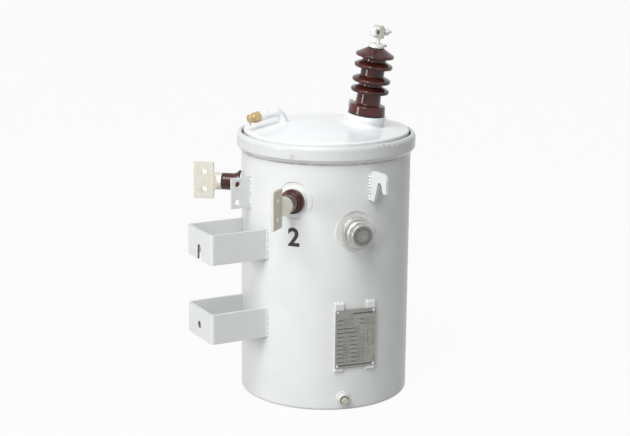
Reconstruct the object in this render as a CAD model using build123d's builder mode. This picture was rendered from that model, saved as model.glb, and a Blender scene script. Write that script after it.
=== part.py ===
"""Single-phase pole-type distribution transformer: welded tank, clamped lid, bushings and fittings.

Frame: millimetres, +Z up, origin at the centre of the tank foot. The pole side is -X, the main
lifting lug is close to -Y. Angles round the tank are measured from -Y towards +X.
"""

import math
import os

from build123d import *

os.makedirs("parts", exist_ok=True)

# Tank, lid and clamp ring
TANK_RADIUS = 208.0
WALL = 4.0
FOOT_HEIGHT = 22.0
FOOT_KNUCKLE = 9.0
RIM_Z = 628.0
RIM_LEDGE = 8.5
RIM_THICK = 4.0
GASKET_THICK = 4.0
GASKET_INSET = 1.0
LID_SHEET = 3.5
LID_RISE = 22.0
LID_DOME = 28.0
LID_SETBACK = 5.0
BAND_SHEET = 3.0
BAND_SKIRT = 7.0
BAND_TUCK = 12.0
BAND_WALL_GAP = 1.0
BAND_SHOULDER = 3.5
BAND_MOUTH = 3.5
BAND_DROP = 2.0
BAND_TIP = 1.5

# High-voltage bushing on the lid
HV_ANGLE = 44.0
HV_REACH = 98.5
COLLAR_RADIUS = 40.0
COLLAR_RISE = 11.0
COLLAR_FLANGE_RADIUS = 49.0
COLLAR_FLANGE = 11.0
COLLAR_FLARE = 5.0
COLLAR_EDGE = 1.5
HV_GASKET_THICK = 2.5
HV_GASKET_RADIUS = 43.0
HV_HEIGHT = 161.5
HV_FOOT_RADIUS = 45.5
HV_FOOT_TOP_RADIUS = 43.0
HV_FOOT_HEIGHT = 21.0
HV_FOOT_SLOPE = 4.0
HV_CORE_RADIUS = 29.0
SHED_RADIUS = 47.0
SHED_CENTRES = (56.8, 81.8, 117.4, 141.6)
SHED_UNDER = 8.0
SHED_OVER = 12.0
SHED_LIP = 4.2
HV_SHOULDER_RADIUS = 28.2
HV_SHOULDER_DROP = 5.0
HV_TOP_RADIUS = 20.0
CAP_GASKET_THICK = 1.5
CAP_GASKET_INSET = 1.0
HV_CAP_RADIUS = 20.0
HV_CAP_THICK = 8.0
CAP_EDGE = 1.0
CAP_SCREW_RADIUS = 3.0
CAP_SCREW_LENGTH = 7.5
STEM_RADIUS = 4.0
STEM_HEIGHT = 13.0
STEM_OFFSET = 3.5
JAW_WIDTH = 13.0
JAW_HEIGHT = 31.0
JAW_CORNER = 4.0
CLAMP_DEPTH = 30.0
CLAMP_BARREL_WIDTH = 19.0
CLAMP_BARREL_HEIGHT = 19.0
CLAMP_BARREL_CORNER = 4.0
CLAMP_OVERLAP = 6.0
CLAMP_LIFT = 0.6
EYE_BORE = 11.0
EYE_SIDE = 5.5
CLAMP_BOLT_RADIUS = 4.0
CLAMP_BOLT_LENGTH = 24.0
CLAMP_BOLT_SIDE = 6.0
CLAMP_NUT_FLATS = 17.0
CLAMP_NUT_THICK = 10.0
CLAMP_NUT_GAP = 5.0

# Post beside the bushing
POST_ANGLE = 80.0
POST_REACH = 54.0
POST_RADIUS = 4.6
POST_HEIGHT = 46.0
POST_COLLAR_RADIUS = 6.2
POST_COLLAR_HEIGHT = 9.0
POST_COLLAR_START = 32.0
POST_SCREW_START = 31.0
POST_TIP_EDGE = 1.0
POST_SCREW_RADIUS = 2.4
POST_SCREW_HEAD_RADIUS = 3.6
POST_SCREW_HEAD = 5.0
POST_SCREW_REACH = 19.0

# Pressure-relief pipe
VENT_ANGLE = -104.5
VENT_REACH = 108.0
PIPE_RADIUS = 10.0
PIPE_BEND = 20.0
PIPE_RISE = 7.5
PIPE_RUN = 22.0
SLEEVE_RADIUS = 11.8
SLEEVE_LENGTH = 19.5
VALVE_FLATS = 23.5
VALVE_HEX_LENGTH = 18.0
VALVE_END_RADIUS = 10.2
VALVE_END_LENGTH = 13.0
VALVE_PIN_RADIUS = 1.6
VALVE_PIN_LENGTH = 6.0
VALVE_PIN_INSET = 4.0

# Low-voltage bushings
LV_ANGLE = 40.0
LV_Z = 520.0
LV_LEFT_DROP = 8.0
LV_BOSS_RADIUS = 46.0
LV_BOSS_RISE = 6.0
LV_BOSS_EDGE = 3.0
LV_DISH_RADIUS = 34.0
LV_DISH_DEPTH = 1.5
LV_DISH_SLOPE = 2.0
LV_PORCELAIN_EDGE = 1.5
LV_GASKET_RADIUS = 29.0
LV_GASKET_THICK = 2.0
LV_FLANGE_RADIUS = 30.0
LV_FLANGE_THICK = 8.0
LV_STEP_RADIUS = 24.0
LV_STEP_LENGTH = 8.0
LV_BARREL_RADIUS = 21.5
LV_PORCELAIN_LENGTH = 46.0
LV_SEAL_THICK = 2.5
LV_SEAL_RADIUS = 20.0
LV_NECK_RADIUS = 21.5
LV_NECK_LENGTH = 9.0
LV_TAPER_LENGTH = 17.0
PAD_OVERLAP = 3.0
PAD_LENGTH = 52.0
PAD_HEIGHT = 93.0
PAD_THICK = 6.0
PAD_CORNER = 3.0
PAD_HOLE = 14.3
PAD_PITCH = 44.45
PAD_HOLE_INSET = 27.0

# Ground plate
GROUND_LENGTH = 52.0
GROUND_Z = 519.0
GROUND_HEIGHT = 75.0
GROUND_THICK = 6.0
GROUND_HOLE_INSET = 17.0

# Pole brackets
BRACKET_LENGTH = 137.0
BRACKET_WIDTH = 138.0
BRACKET_HEIGHT = 74.0
BRACKET_PLATE = 6.0
BRACKET_BEND = 8.0
UPPER_BRACKET_Z = 366.0
LOWER_BRACKET_Z = 170.0
SLOT_WIDTH = 17.5
SLOT_RISE = 38.0
HOLE_RISE = 33.0

# Lifting lugs
LUG_ANGLE = 2.7
LUG_THICK = 8.0
LUG_FOOT_Z = 519.0
LUG_HEIGHT = 74.0
LUG_LENGTH = 66.0
LUG_CORNER = 18.0
LUG_ROOT_BEVEL = 13.0
LUG_LEG = 16.0
LUG_SLOT_RADIUS = 9.0
LUG_SLOT_OUT = 38.0
LUG_SLOT_TOP = 49.0
LUG_TOE = 13.0
LUG_TOE_RISE = 26.0

# Tap changer
TAP_ANGLE = -8.6
TAP_Z = 446.5
TAP_BOSS_RADIUS = 50.0
TAP_BOSS_RISE = 5.0
TAP_BOSS_EDGE = 2.5
TAP_FLANGE_RADIUS = 37.5
TAP_FLANGE_THICK = 11.0
TAP_FLANGE_EDGE = 1.5
KNURL_COUNT = 40
KNURL_DEPTH = 1.2
TAP_DRUM_RADIUS = 31.5
TAP_DRUM_LENGTH = 9.0
TAP_CAP_RADIUS = 28.0
TAP_CAP_LENGTH = 23.0
TAP_CAP_EDGE = 2.5

# Nameplate
PLATE_ANGLE = -8.0
PLATE_Z = 183.0
PLATE_WIDTH = 104.0
PLATE_HEIGHT = 146.0
PLATE_THICK = 1.2
PLATE_CORNER = 3.0
STRAP_WIDTH = 22.0
STRAP_SPREAD = 40.0
STRAP_OVER = 15.0
STRAP_UNDER = 8.0
STRAP_THICK = 3.0
RIVET_RADIUS = 2.8
RIVET_RISE = 1.6
RIVET_INSET = 5.5

# Tank ground boss
EARTH_ANGLE = -15.9
EARTH_Z = 33.0
EARTH_BOSS_RADIUS = 12.5
EARTH_BOSS_LENGTH = 17.5
EARTH_WASHER_RADIUS = 11.0
EARTH_WASHER_THICK = 2.0
EARTH_FLATS = 19.0
EARTH_HEAD = 8.5

# Depth that a welded piece is drawn into the wall or lid before it is cut back to the curve
ROOT = 12.0

# Derived values
INNER_RADIUS = TANK_RADIUS - WALL
FOOT_BEVEL = FOOT_KNUCKLE - WALL
RIM_RADIUS = TANK_RADIUS + RIM_LEDGE
GASKET_Z = RIM_Z + RIM_THICK
LID_FLANGE_Z = GASKET_Z + GASKET_THICK
LID_RIM_Z = LID_FLANGE_Z + LID_RISE
LID_CROWN_Z = LID_RIM_Z + LID_DOME
LID_RISER_RADIUS = TANK_RADIUS - LID_SETBACK
DOME_RADIUS = (LID_RISER_RADIUS**2 + LID_DOME**2) / (2 * LID_DOME)
DOME_CENTRE_Z = LID_CROWN_Z - DOME_RADIUS
BAND_RADIUS = RIM_RADIUS + BAND_SHEET
BAND_FOOT_Z = RIM_Z - BAND_SKIRT
BAND_SHOULDER_Z = LID_FLANGE_Z + LID_SHEET + BAND_SHOULDER
BAND_MOUTH_RADIUS = LID_RISER_RADIUS + BAND_MOUTH
BRACKET_REACH = TANK_RADIUS + BRACKET_LENGTH


def outward(angle, reach, height):
    """Plane whose normal points straight out of the tank wall, with its y axis upright."""
    turn = math.radians(angle)
    spot = (reach * math.sin(turn), -reach * math.cos(turn), height)
    return Plane(
        origin=spot,
        x_dir=(math.cos(turn), math.sin(turn), 0),
        z_dir=(math.sin(turn), -math.cos(turn), 0),
    )


def upright(angle):
    """Vertical plane through the tank axis: x is the distance out from the axis, y the height."""
    turn = math.radians(angle)
    return Plane(
        origin=(0, 0, 0),
        x_dir=(math.sin(turn), -math.cos(turn), 0),
        z_dir=(-math.cos(turn), -math.sin(turn), 0),
    )


def on_lid(angle, reach, lift=0.0):
    """Plane square to the domed lid, with its x axis pointing away from the tank axis."""
    turn = math.radians(angle)
    lean = math.asin(reach / DOME_RADIUS)
    out = (math.sin(turn), -math.cos(turn))
    far = (DOME_RADIUS + lift) * math.sin(lean)
    high = DOME_CENTRE_Z + (DOME_RADIUS + lift) * math.cos(lean)
    return Plane(
        origin=(far * out[0], far * out[1], high),
        x_dir=(out[0] * math.cos(lean), out[1] * math.cos(lean), -math.sin(lean)),
        z_dir=(out[0] * math.sin(lean), out[1] * math.sin(lean), math.cos(lean)),
    )


def raised(base, lift):
    """The same plane moved along its own normal."""
    return Plane(origin=base.origin + base.z_dir * lift, x_dir=base.x_dir, z_dir=base.z_dir)


def facing(base, direction):
    """The same plane with its x axis turned towards a direction."""
    flat = direction - base.z_dir * direction.dot(base.z_dir)
    return Plane(origin=base.origin, x_dir=flat.normalized(), z_dir=base.z_dir)


def section(base):
    """Plane holding the normal of base: x is the radius, y the distance along the normal."""
    return Plane(origin=base.origin, x_dir=base.x_dir, z_dir=base.x_dir.cross(base.z_dir))


def spin_axis(base):
    return Axis(base.origin, base.z_dir)


def tank_cylinder():
    """Outer envelope of the wall, used to fit welded pieces to the curve."""
    Cylinder(TANK_RADIUS, RIM_Z, align=(Align.CENTER, Align.CENTER, Align.MIN), mode=Mode.SUBTRACT)


def dome_ball():
    """Outer envelope of the lid dome, used to fit welded pieces to it."""
    with Locations((0, 0, DOME_CENTRE_Z)):
        Sphere(DOME_RADIUS, rotation=(0, 0, 37), mode=Mode.SUBTRACT)


# Pressed tank foot with a rounded knuckle
with BuildPart() as tank_bottom:
    with BuildSketch(Plane.XZ):
        with BuildLine():
            Polyline(
                (0, 0),
                (TANK_RADIUS, 0),
                (TANK_RADIUS, FOOT_HEIGHT),
                (INNER_RADIUS, FOOT_HEIGHT),
                (INNER_RADIUS, FOOT_KNUCKLE),
                (INNER_RADIUS - FOOT_BEVEL, WALL),
                (0, WALL),
                close=True,
            )
        make_face()
    revolve(axis=Axis.Z)
    fillet(tank_bottom.edges().filter_by(GeomType.CIRCLE).group_by(Axis.Z)[0], FOOT_KNUCKLE)
tank_bottom.part.label = "tank_bottom"
export_step(tank_bottom.part, "parts/tank_bottom.step")

# Rolled tank wall with its turned-out rim
with BuildPart() as tank_wall:
    with BuildSketch(Plane.XZ):
        with BuildLine():
            Polyline(
                (INNER_RADIUS, FOOT_HEIGHT),
                (TANK_RADIUS, FOOT_HEIGHT),
                (TANK_RADIUS, RIM_Z),
                (RIM_RADIUS, RIM_Z),
                (RIM_RADIUS, GASKET_Z),
                (INNER_RADIUS, GASKET_Z),
                close=True,
            )
        make_face()
    revolve(axis=Axis.Z)
tank_wall.part.label = "tank_wall"
export_step(tank_wall.part, "parts/tank_wall.step")

# Core, coils and oil, taken as one mass that fills the closed tank up to its rim
with BuildPart() as core_and_oil:
    with BuildSketch(Plane.XZ):
        with BuildLine():
            Polyline(
                (0, WALL),
                (INNER_RADIUS - FOOT_BEVEL, WALL),
                (INNER_RADIUS, FOOT_KNUCKLE),
                (INNER_RADIUS, GASKET_Z),
                (0, GASKET_Z),
                close=True,
            )
        make_face()
    revolve(axis=Axis.Z)
core_and_oil.part.label = "core_and_oil"
export_step(core_and_oil.part, "parts/core_and_oil.step")

# Rim gasket
with BuildPart() as lid_gasket:
    with BuildSketch(Plane.XY.offset(GASKET_Z)):
        Circle(RIM_RADIUS)
        Circle(INNER_RADIUS + GASKET_INSET, mode=Mode.SUBTRACT)
    extrude(amount=GASKET_THICK)
lid_gasket.part.label = "lid_gasket"
export_step(lid_gasket.part, "parts/lid_gasket.step")

# Domed lid with a riser and a flat rim
with BuildPart() as lid:
    with BuildSketch(Plane.XZ):
        with BuildLine():
            RadiusArc((LID_RISER_RADIUS, LID_RIM_Z), (0, LID_CROWN_Z), -DOME_RADIUS)
            Line((0, LID_CROWN_Z), (0, LID_CROWN_Z - LID_SHEET))
            RadiusArc(
                (0, LID_CROWN_Z - LID_SHEET),
                (LID_RISER_RADIUS - LID_SHEET, LID_RIM_Z - LID_SHEET),
                DOME_RADIUS,
            )
            Polyline(
                (LID_RISER_RADIUS - LID_SHEET, LID_RIM_Z - LID_SHEET),
                (LID_RISER_RADIUS - LID_SHEET, LID_FLANGE_Z),
                (RIM_RADIUS, LID_FLANGE_Z),
                (RIM_RADIUS, LID_FLANGE_Z + LID_SHEET),
                (LID_RISER_RADIUS, LID_FLANGE_Z + LID_SHEET),
                (LID_RISER_RADIUS, LID_RIM_Z),
            )
        make_face()
    revolve(axis=Axis.Z)
lid.part.label = "lid"
export_step(lid.part, "parts/lid.step")


def band_arc(inset):
    """Three points of the rounded shoulder of the clamp ring, on its outer or its inner skin."""
    reach = BAND_RADIUS - BAND_MOUTH_RADIUS - inset
    rise = LID_RIM_Z - BAND_DROP - BAND_SHOULDER_Z - inset
    slant = math.sqrt(0.5)
    return (
        (BAND_MOUTH_RADIUS + reach, BAND_SHOULDER_Z),
        (BAND_MOUTH_RADIUS + reach * slant, BAND_SHOULDER_Z + rise * slant),
        (BAND_MOUTH_RADIUS, BAND_SHOULDER_Z + rise),
    )


# Rolled clamp ring drawn over the three rims, with a rounded shoulder and a tucked-in skirt
outer_skin = band_arc(0)
inner_skin = band_arc(BAND_SHEET)
with BuildPart() as clamp_band:
    with BuildSketch(Plane.XZ):
        with BuildLine():
            ThreePointArc(*outer_skin)
            ThreePointArc(*inner_skin)
            Line(outer_skin[2], inner_skin[2])
            Polyline(
                inner_skin[0],
                (RIM_RADIUS, BAND_FOOT_Z),
                (TANK_RADIUS + BAND_WALL_GAP, BAND_FOOT_Z - BAND_TUCK + BAND_TIP),
                (TANK_RADIUS + BAND_WALL_GAP + BAND_TIP, BAND_FOOT_Z - BAND_TUCK),
                (BAND_RADIUS, BAND_FOOT_Z),
                outer_skin[0],
            )
        make_face()
    revolve(axis=Axis.Z)
clamp_band.part.label = "clamp_band"
export_step(clamp_band.part, "parts/clamp_band.step")

# Collar welded to the lid under the high-voltage bushing
lid_seat = on_lid(HV_ANGLE, HV_REACH)
with BuildPart() as hv_collar:
    with BuildSketch(section(lid_seat)):
        with BuildLine():
            Polyline(
                (0, -ROOT),
                (COLLAR_RADIUS, -ROOT),
                (COLLAR_RADIUS, COLLAR_RISE - COLLAR_FLARE),
                (COLLAR_FLANGE_RADIUS - COLLAR_EDGE, COLLAR_RISE),
                (COLLAR_FLANGE_RADIUS, COLLAR_RISE + COLLAR_EDGE),
                (COLLAR_FLANGE_RADIUS, COLLAR_RISE + COLLAR_FLANGE - COLLAR_EDGE),
                (COLLAR_FLANGE_RADIUS - COLLAR_EDGE, COLLAR_RISE + COLLAR_FLANGE),
                (0, COLLAR_RISE + COLLAR_FLANGE),
                close=True,
            )
        make_face()
    revolve(axis=spin_axis(lid_seat))
    dome_ball()
hv_collar.part.label = "hv_collar"
export_step(hv_collar.part, "parts/hv_collar.step")

gasket_seat = raised(lid_seat, COLLAR_RISE + COLLAR_FLANGE)
with BuildPart() as hv_gasket:
    with BuildSketch(gasket_seat):
        Circle(HV_GASKET_RADIUS)
    extrude(amount=HV_GASKET_THICK)
hv_gasket.part.label = "hv_gasket"
export_step(hv_gasket.part, "parts/hv_gasket.step")

# High-voltage porcelain: foot, barrel, four lens-shaped sheds and a conical shoulder
hv_seat = raised(gasket_seat, HV_GASKET_THICK)
shed_profile = [
    (0, 0),
    (HV_FOOT_RADIUS, 0),
    (HV_FOOT_TOP_RADIUS, HV_FOOT_HEIGHT),
    (HV_CORE_RADIUS, HV_FOOT_HEIGHT + HV_FOOT_SLOPE),
]
for tip in SHED_CENTRES:
    shed_profile += [
        (HV_CORE_RADIUS, tip - SHED_UNDER),
        (SHED_RADIUS - SHED_LIP / 3, tip - SHED_LIP),
        (SHED_RADIUS, tip),
        (SHED_RADIUS - SHED_LIP, tip + SHED_LIP),
    ]
    if tip != SHED_CENTRES[-1]:
        shed_profile += [(HV_CORE_RADIUS, tip + SHED_OVER)]
shed_profile += [
    (HV_SHOULDER_RADIUS, HV_HEIGHT - HV_SHOULDER_DROP),
    (HV_TOP_RADIUS, HV_HEIGHT),
    (0, HV_HEIGHT),
]
with BuildPart() as hv_porcelain:
    with BuildSketch(section(hv_seat)):
        with BuildLine():
            Polyline(*shed_profile, close=True)
        make_face()
    revolve(axis=spin_axis(hv_seat))
hv_porcelain.part.label = "hv_porcelain"
export_step(hv_porcelain.part, "parts/hv_porcelain.step")

cap_gasket_seat = raised(hv_seat, HV_HEIGHT)
with BuildPart() as hv_cap_gasket:
    with BuildSketch(cap_gasket_seat):
        Circle(HV_TOP_RADIUS - CAP_GASKET_INSET)
    extrude(amount=CAP_GASKET_THICK)
hv_cap_gasket.part.label = "hv_cap_gasket"
export_step(hv_cap_gasket.part, "parts/hv_cap_gasket.step")

# Bushing cap, turned so that its x axis leans towards +X, with the stem set off its centre
cap_seat = facing(raised(cap_gasket_seat, CAP_GASKET_THICK), Vector(1, 0, 0))
with BuildPart() as hv_cap:
    with BuildSketch(cap_seat):
        Circle(HV_CAP_RADIUS)
    extrude(amount=HV_CAP_THICK)
    chamfer(hv_cap.edges().filter_by(GeomType.CIRCLE).sort_by(spin_axis(cap_seat))[-1], CAP_EDGE)
    with BuildSketch(raised(cap_seat, HV_CAP_THICK)):
        with Locations((STEM_OFFSET, 0)):
            Circle(STEM_RADIUS)
    extrude(amount=STEM_HEIGHT)
hv_cap.part.label = "hv_cap"
export_step(hv_cap.part, "parts/hv_cap.step")

cap_screw_seat = Plane(
    origin=cap_seat.origin + cap_seat.z_dir * (HV_CAP_THICK / 2),
    x_dir=cap_seat.y_dir,
    z_dir=cap_seat.x_dir,
)
with BuildPart() as hv_cap_screw:
    with BuildSketch(cap_screw_seat):
        Circle(CAP_SCREW_RADIUS)
    extrude(amount=HV_CAP_RADIUS + CAP_SCREW_LENGTH)
    with BuildSketch(cap_seat):
        Circle(HV_CAP_RADIUS)
    extrude(amount=HV_CAP_THICK, mode=Mode.SUBTRACT)
hv_cap_screw.part.label = "hv_cap_screw"
export_step(hv_cap_screw.part, "parts/hv_cap_screw.step")

# Eye clamp, set upright on the leaning stem: a rounded jaw, a barrel behind it and a bore across both
stem_top = cap_seat.origin + cap_seat.x_dir * STEM_OFFSET + cap_seat.z_dir * (HV_CAP_THICK + STEM_HEIGHT)
eye_seat = Plane(origin=stem_top + Vector(-STEM_OFFSET, 0, CLAMP_LIFT), x_dir=(1, 0, 0), z_dir=(0, 0, 1))
barrel_centre = STEM_OFFSET - JAW_WIDTH / 2 - CLAMP_BARREL_WIDTH / 2 + CLAMP_OVERLAP
with BuildPart() as hv_eye_clamp:
    with BuildSketch(section(eye_seat)):
        with Locations((STEM_OFFSET, JAW_HEIGHT / 2)):
            RectangleRounded(JAW_WIDTH, JAW_HEIGHT, JAW_CORNER)
        with Locations((barrel_centre, JAW_HEIGHT / 2)):
            RectangleRounded(CLAMP_BARREL_WIDTH, CLAMP_BARREL_HEIGHT, CLAMP_BARREL_CORNER)
        with Locations((-EYE_SIDE, JAW_HEIGHT / 2)):
            Circle(EYE_BORE / 2, mode=Mode.SUBTRACT)
    extrude(amount=CLAMP_DEPTH / 2, both=True)
hv_eye_clamp.part.label = "hv_eye_clamp"
export_step(hv_eye_clamp.part, "parts/hv_eye_clamp.step")

clamp_bolt_seat = Plane(
    origin=eye_seat.origin
    + eye_seat.x_dir * (STEM_OFFSET + JAW_WIDTH / 2)
    - eye_seat.y_dir * CLAMP_BOLT_SIDE
    + eye_seat.z_dir * (JAW_HEIGHT / 2),
    x_dir=eye_seat.y_dir,
    z_dir=eye_seat.x_dir,
)
with BuildPart() as hv_clamp_bolt:
    with BuildSketch(clamp_bolt_seat):
        Circle(CLAMP_BOLT_RADIUS)
    extrude(amount=CLAMP_BOLT_LENGTH)
    with BuildSketch(raised(clamp_bolt_seat, CLAMP_NUT_GAP)):
        RegularPolygon(CLAMP_NUT_FLATS / 2, 6, major_radius=False)
    extrude(amount=CLAMP_NUT_THICK)
hv_clamp_bolt.part.label = "hv_clamp_bolt"
export_step(hv_clamp_bolt.part, "parts/hv_clamp_bolt.step")

# Post beside the bushing with a collar and a slanted screw that points at the porcelain foot
post_seat = on_lid(POST_ANGLE, POST_REACH)
with BuildPart() as lid_post:
    with BuildSketch(raised(post_seat, -ROOT)):
        Circle(POST_RADIUS)
    extrude(amount=ROOT + POST_HEIGHT)
    chamfer(lid_post.edges().filter_by(GeomType.CIRCLE).sort_by(spin_axis(post_seat))[-1], POST_TIP_EDGE)
    dome_ball()
lid_post.part.label = "lid_post"
export_step(lid_post.part, "parts/lid_post.step")

with BuildPart() as lid_post_collar:
    with BuildSketch(raised(post_seat, POST_COLLAR_START)):
        Circle(POST_COLLAR_RADIUS)
        Circle(POST_RADIUS, mode=Mode.SUBTRACT)
    extrude(amount=POST_COLLAR_HEIGHT)
lid_post_collar.part.label = "lid_post_collar"
export_step(lid_post_collar.part, "parts/lid_post_collar.step")

screw_base = facing(raised(post_seat, POST_SCREW_START), lid_seat.origin - post_seat.origin)
screw_way = (screw_base.x_dir + screw_base.z_dir).normalized()
screw_seat = Plane(origin=screw_base.origin, x_dir=screw_base.y_dir, z_dir=screw_way)
with BuildPart() as lid_post_screw:
    with BuildSketch(screw_seat):
        Circle(POST_SCREW_RADIUS)
    extrude(amount=POST_SCREW_REACH)
    with BuildSketch(raised(screw_seat, POST_SCREW_REACH - POST_SCREW_HEAD)):
        Circle(POST_SCREW_HEAD_RADIUS)
    extrude(amount=POST_SCREW_HEAD)
    with BuildSketch(post_seat):
        Circle(POST_COLLAR_RADIUS)
    extrude(amount=POST_HEIGHT, mode=Mode.SUBTRACT)
lid_post_screw.part.label = "lid_post_screw"
export_step(lid_post_screw.part, "parts/lid_post_screw.step")

# Bent pipe welded to the lid: a rise, a bend and a short run towards the pole side
vent_seat = facing(on_lid(VENT_ANGLE, VENT_REACH), Vector(-1, 0, 0))
with BuildPart() as vent_pipe:
    with BuildLine(section(vent_seat)) as vent_path:
        Line((0, -ROOT), (0, PIPE_RISE))
        CenterArc((PIPE_BEND, PIPE_RISE), PIPE_BEND, 180, -90)
        Line((PIPE_BEND, PIPE_RISE + PIPE_BEND), (PIPE_BEND + PIPE_RUN, PIPE_RISE + PIPE_BEND))
    with BuildSketch(raised(vent_seat, -ROOT)):
        Circle(PIPE_RADIUS)
    sweep(path=vent_path.wires()[0])
    dome_ball()
vent_pipe.part.label = "vent_pipe"
export_step(vent_pipe.part, "parts/vent_pipe.step")

sleeve_seat = Plane(
    origin=vent_seat.origin
    + vent_seat.x_dir * (PIPE_BEND + PIPE_RUN)
    + vent_seat.z_dir * (PIPE_RISE + PIPE_BEND),
    x_dir=vent_seat.z_dir,
    z_dir=vent_seat.x_dir,
)
with BuildPart() as vent_sleeve:
    with BuildSketch(sleeve_seat):
        Circle(SLEEVE_RADIUS)
    extrude(amount=SLEEVE_LENGTH)
vent_sleeve.part.label = "vent_sleeve"
export_step(vent_sleeve.part, "parts/vent_sleeve.step")

valve_seat = raised(sleeve_seat, SLEEVE_LENGTH)
pin_seat = Plane(
    origin=valve_seat.origin + valve_seat.z_dir * (VALVE_HEX_LENGTH + VALVE_END_LENGTH - VALVE_PIN_INSET),
    x_dir=valve_seat.z_dir,
    z_dir=valve_seat.x_dir * -1,
)
with BuildPart() as vent_valve:
    with BuildSketch(valve_seat):
        RegularPolygon(VALVE_FLATS / 2, 6, major_radius=False)
    extrude(amount=VALVE_HEX_LENGTH)
    with BuildSketch(raised(valve_seat, VALVE_HEX_LENGTH)):
        Circle(VALVE_END_RADIUS)
    extrude(amount=VALVE_END_LENGTH)
    chamfer(vent_valve.edges().filter_by(GeomType.CIRCLE).sort_by(spin_axis(valve_seat))[-1], 1.5)
    with BuildSketch(pin_seat):
        Circle(VALVE_PIN_RADIUS)
    extrude(amount=VALVE_END_RADIUS + VALVE_PIN_LENGTH)
vent_valve.part.label = "vent_valve"
export_step(vent_valve.part, "parts/vent_valve.step")


def two_holes(across, height):
    """Two bolt holes one above the other at the standard pitch."""
    with Locations((across, height - PAD_PITCH / 2), (across, height + PAD_PITCH / 2)):
        Circle(PAD_HOLE / 2, mode=Mode.SUBTRACT)


# Low-voltage bushings, one on each side of the bracket plane
lv_places = (("left", -90 - LV_ANGLE, LV_Z - LV_LEFT_DROP), ("right", -90 + LV_ANGLE, LV_Z))
for side, angle, height in lv_places:
    boss_seat = outward(angle, TANK_RADIUS, height)
    with BuildPart() as lv_boss:
        with BuildSketch(section(boss_seat)):
            with BuildLine():
                Polyline(
                    (0, -ROOT),
                    (LV_BOSS_RADIUS, -ROOT),
                    (LV_BOSS_RADIUS, LV_BOSS_RISE - LV_BOSS_EDGE),
                    (LV_BOSS_RADIUS - LV_BOSS_EDGE, LV_BOSS_RISE),
                    (LV_DISH_RADIUS, LV_BOSS_RISE),
                    (LV_DISH_RADIUS - LV_DISH_SLOPE, LV_BOSS_RISE - LV_DISH_DEPTH),
                    (0, LV_BOSS_RISE - LV_DISH_DEPTH),
                    close=True,
                )
            make_face()
        revolve(axis=spin_axis(boss_seat))
        tank_cylinder()
    lv_boss.part.label = f"lv_{side}_boss"
    export_step(lv_boss.part, f"parts/lv_{side}_boss.step")

    gasket_face = raised(boss_seat, LV_BOSS_RISE - LV_DISH_DEPTH)
    with BuildPart() as lv_gasket:
        with BuildSketch(gasket_face):
            Circle(LV_GASKET_RADIUS)
        extrude(amount=LV_GASKET_THICK)
    lv_gasket.part.label = f"lv_{side}_gasket"
    export_step(lv_gasket.part, f"parts/lv_{side}_gasket.step")

    lv_seat = raised(gasket_face, LV_GASKET_THICK)
    step_end = LV_FLANGE_THICK + LV_STEP_LENGTH
    with BuildPart() as lv_porcelain:
        with BuildSketch(section(lv_seat)):
            with BuildLine():
                Polyline(
                    (0, 0),
                    (LV_FLANGE_RADIUS, 0),
                    (LV_FLANGE_RADIUS, LV_FLANGE_THICK - LV_PORCELAIN_EDGE),
                    (LV_FLANGE_RADIUS - LV_PORCELAIN_EDGE, LV_FLANGE_THICK),
                    (LV_STEP_RADIUS, LV_FLANGE_THICK),
                    (LV_STEP_RADIUS, step_end - LV_PORCELAIN_EDGE),
                    (LV_BARREL_RADIUS, step_end),
                    (LV_BARREL_RADIUS, LV_PORCELAIN_LENGTH - LV_PORCELAIN_EDGE),
                    (LV_BARREL_RADIUS - LV_PORCELAIN_EDGE, LV_PORCELAIN_LENGTH),
                    (0, LV_PORCELAIN_LENGTH),
                    close=True,
                )
            make_face()
        revolve(axis=spin_axis(lv_seat))
    lv_porcelain.part.label = f"lv_{side}_porcelain"
    export_step(lv_porcelain.part, f"parts/lv_{side}_porcelain.step")

    end_seat = raised(lv_seat, LV_PORCELAIN_LENGTH)
    with BuildPart() as lv_seal:
        with BuildSketch(end_seat):
            Circle(LV_SEAL_RADIUS)
        extrude(amount=LV_SEAL_THICK)
    lv_seal.part.label = f"lv_{side}_seal"
    export_step(lv_seal.part, f"parts/lv_{side}_seal.step")

    # Round neck milled flat on two sides down to an upright two-hole pad
    neck_seat = raised(end_seat, LV_SEAL_THICK)
    neck_end = LV_NECK_LENGTH + LV_TAPER_LENGTH
    pad_start = neck_end - PAD_OVERLAP
    neck_plan = Plane(origin=neck_seat.origin, x_dir=neck_seat.z_dir, z_dir=(0, 0, 1))
    with BuildPart() as lv_terminal:
        with BuildSketch(neck_seat):
            Circle(LV_NECK_RADIUS)
        extrude(amount=neck_end)
        with BuildSketch(neck_plan):
            with BuildLine():
                Polyline(
                    (0, -LV_NECK_RADIUS),
                    (LV_NECK_LENGTH, -LV_NECK_RADIUS),
                    (neck_end, -PAD_THICK / 2),
                    (neck_end, PAD_THICK / 2),
                    (LV_NECK_LENGTH, LV_NECK_RADIUS),
                    (0, LV_NECK_RADIUS),
                    close=True,
                )
            make_face()
        extrude(amount=LV_NECK_RADIUS, both=True, mode=Mode.INTERSECT)
        with BuildSketch(section(neck_plan)):
            with Locations((pad_start + PAD_LENGTH / 2, 0)):
                RectangleRounded(PAD_LENGTH, PAD_HEIGHT, PAD_CORNER)
            two_holes(pad_start + PAD_LENGTH - PAD_HOLE_INSET, 0)
        extrude(amount=PAD_THICK / 2, both=True)
    lv_terminal.part.label = f"lv_{side}_terminal"
    export_step(lv_terminal.part, f"parts/lv_{side}_terminal.step")

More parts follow.
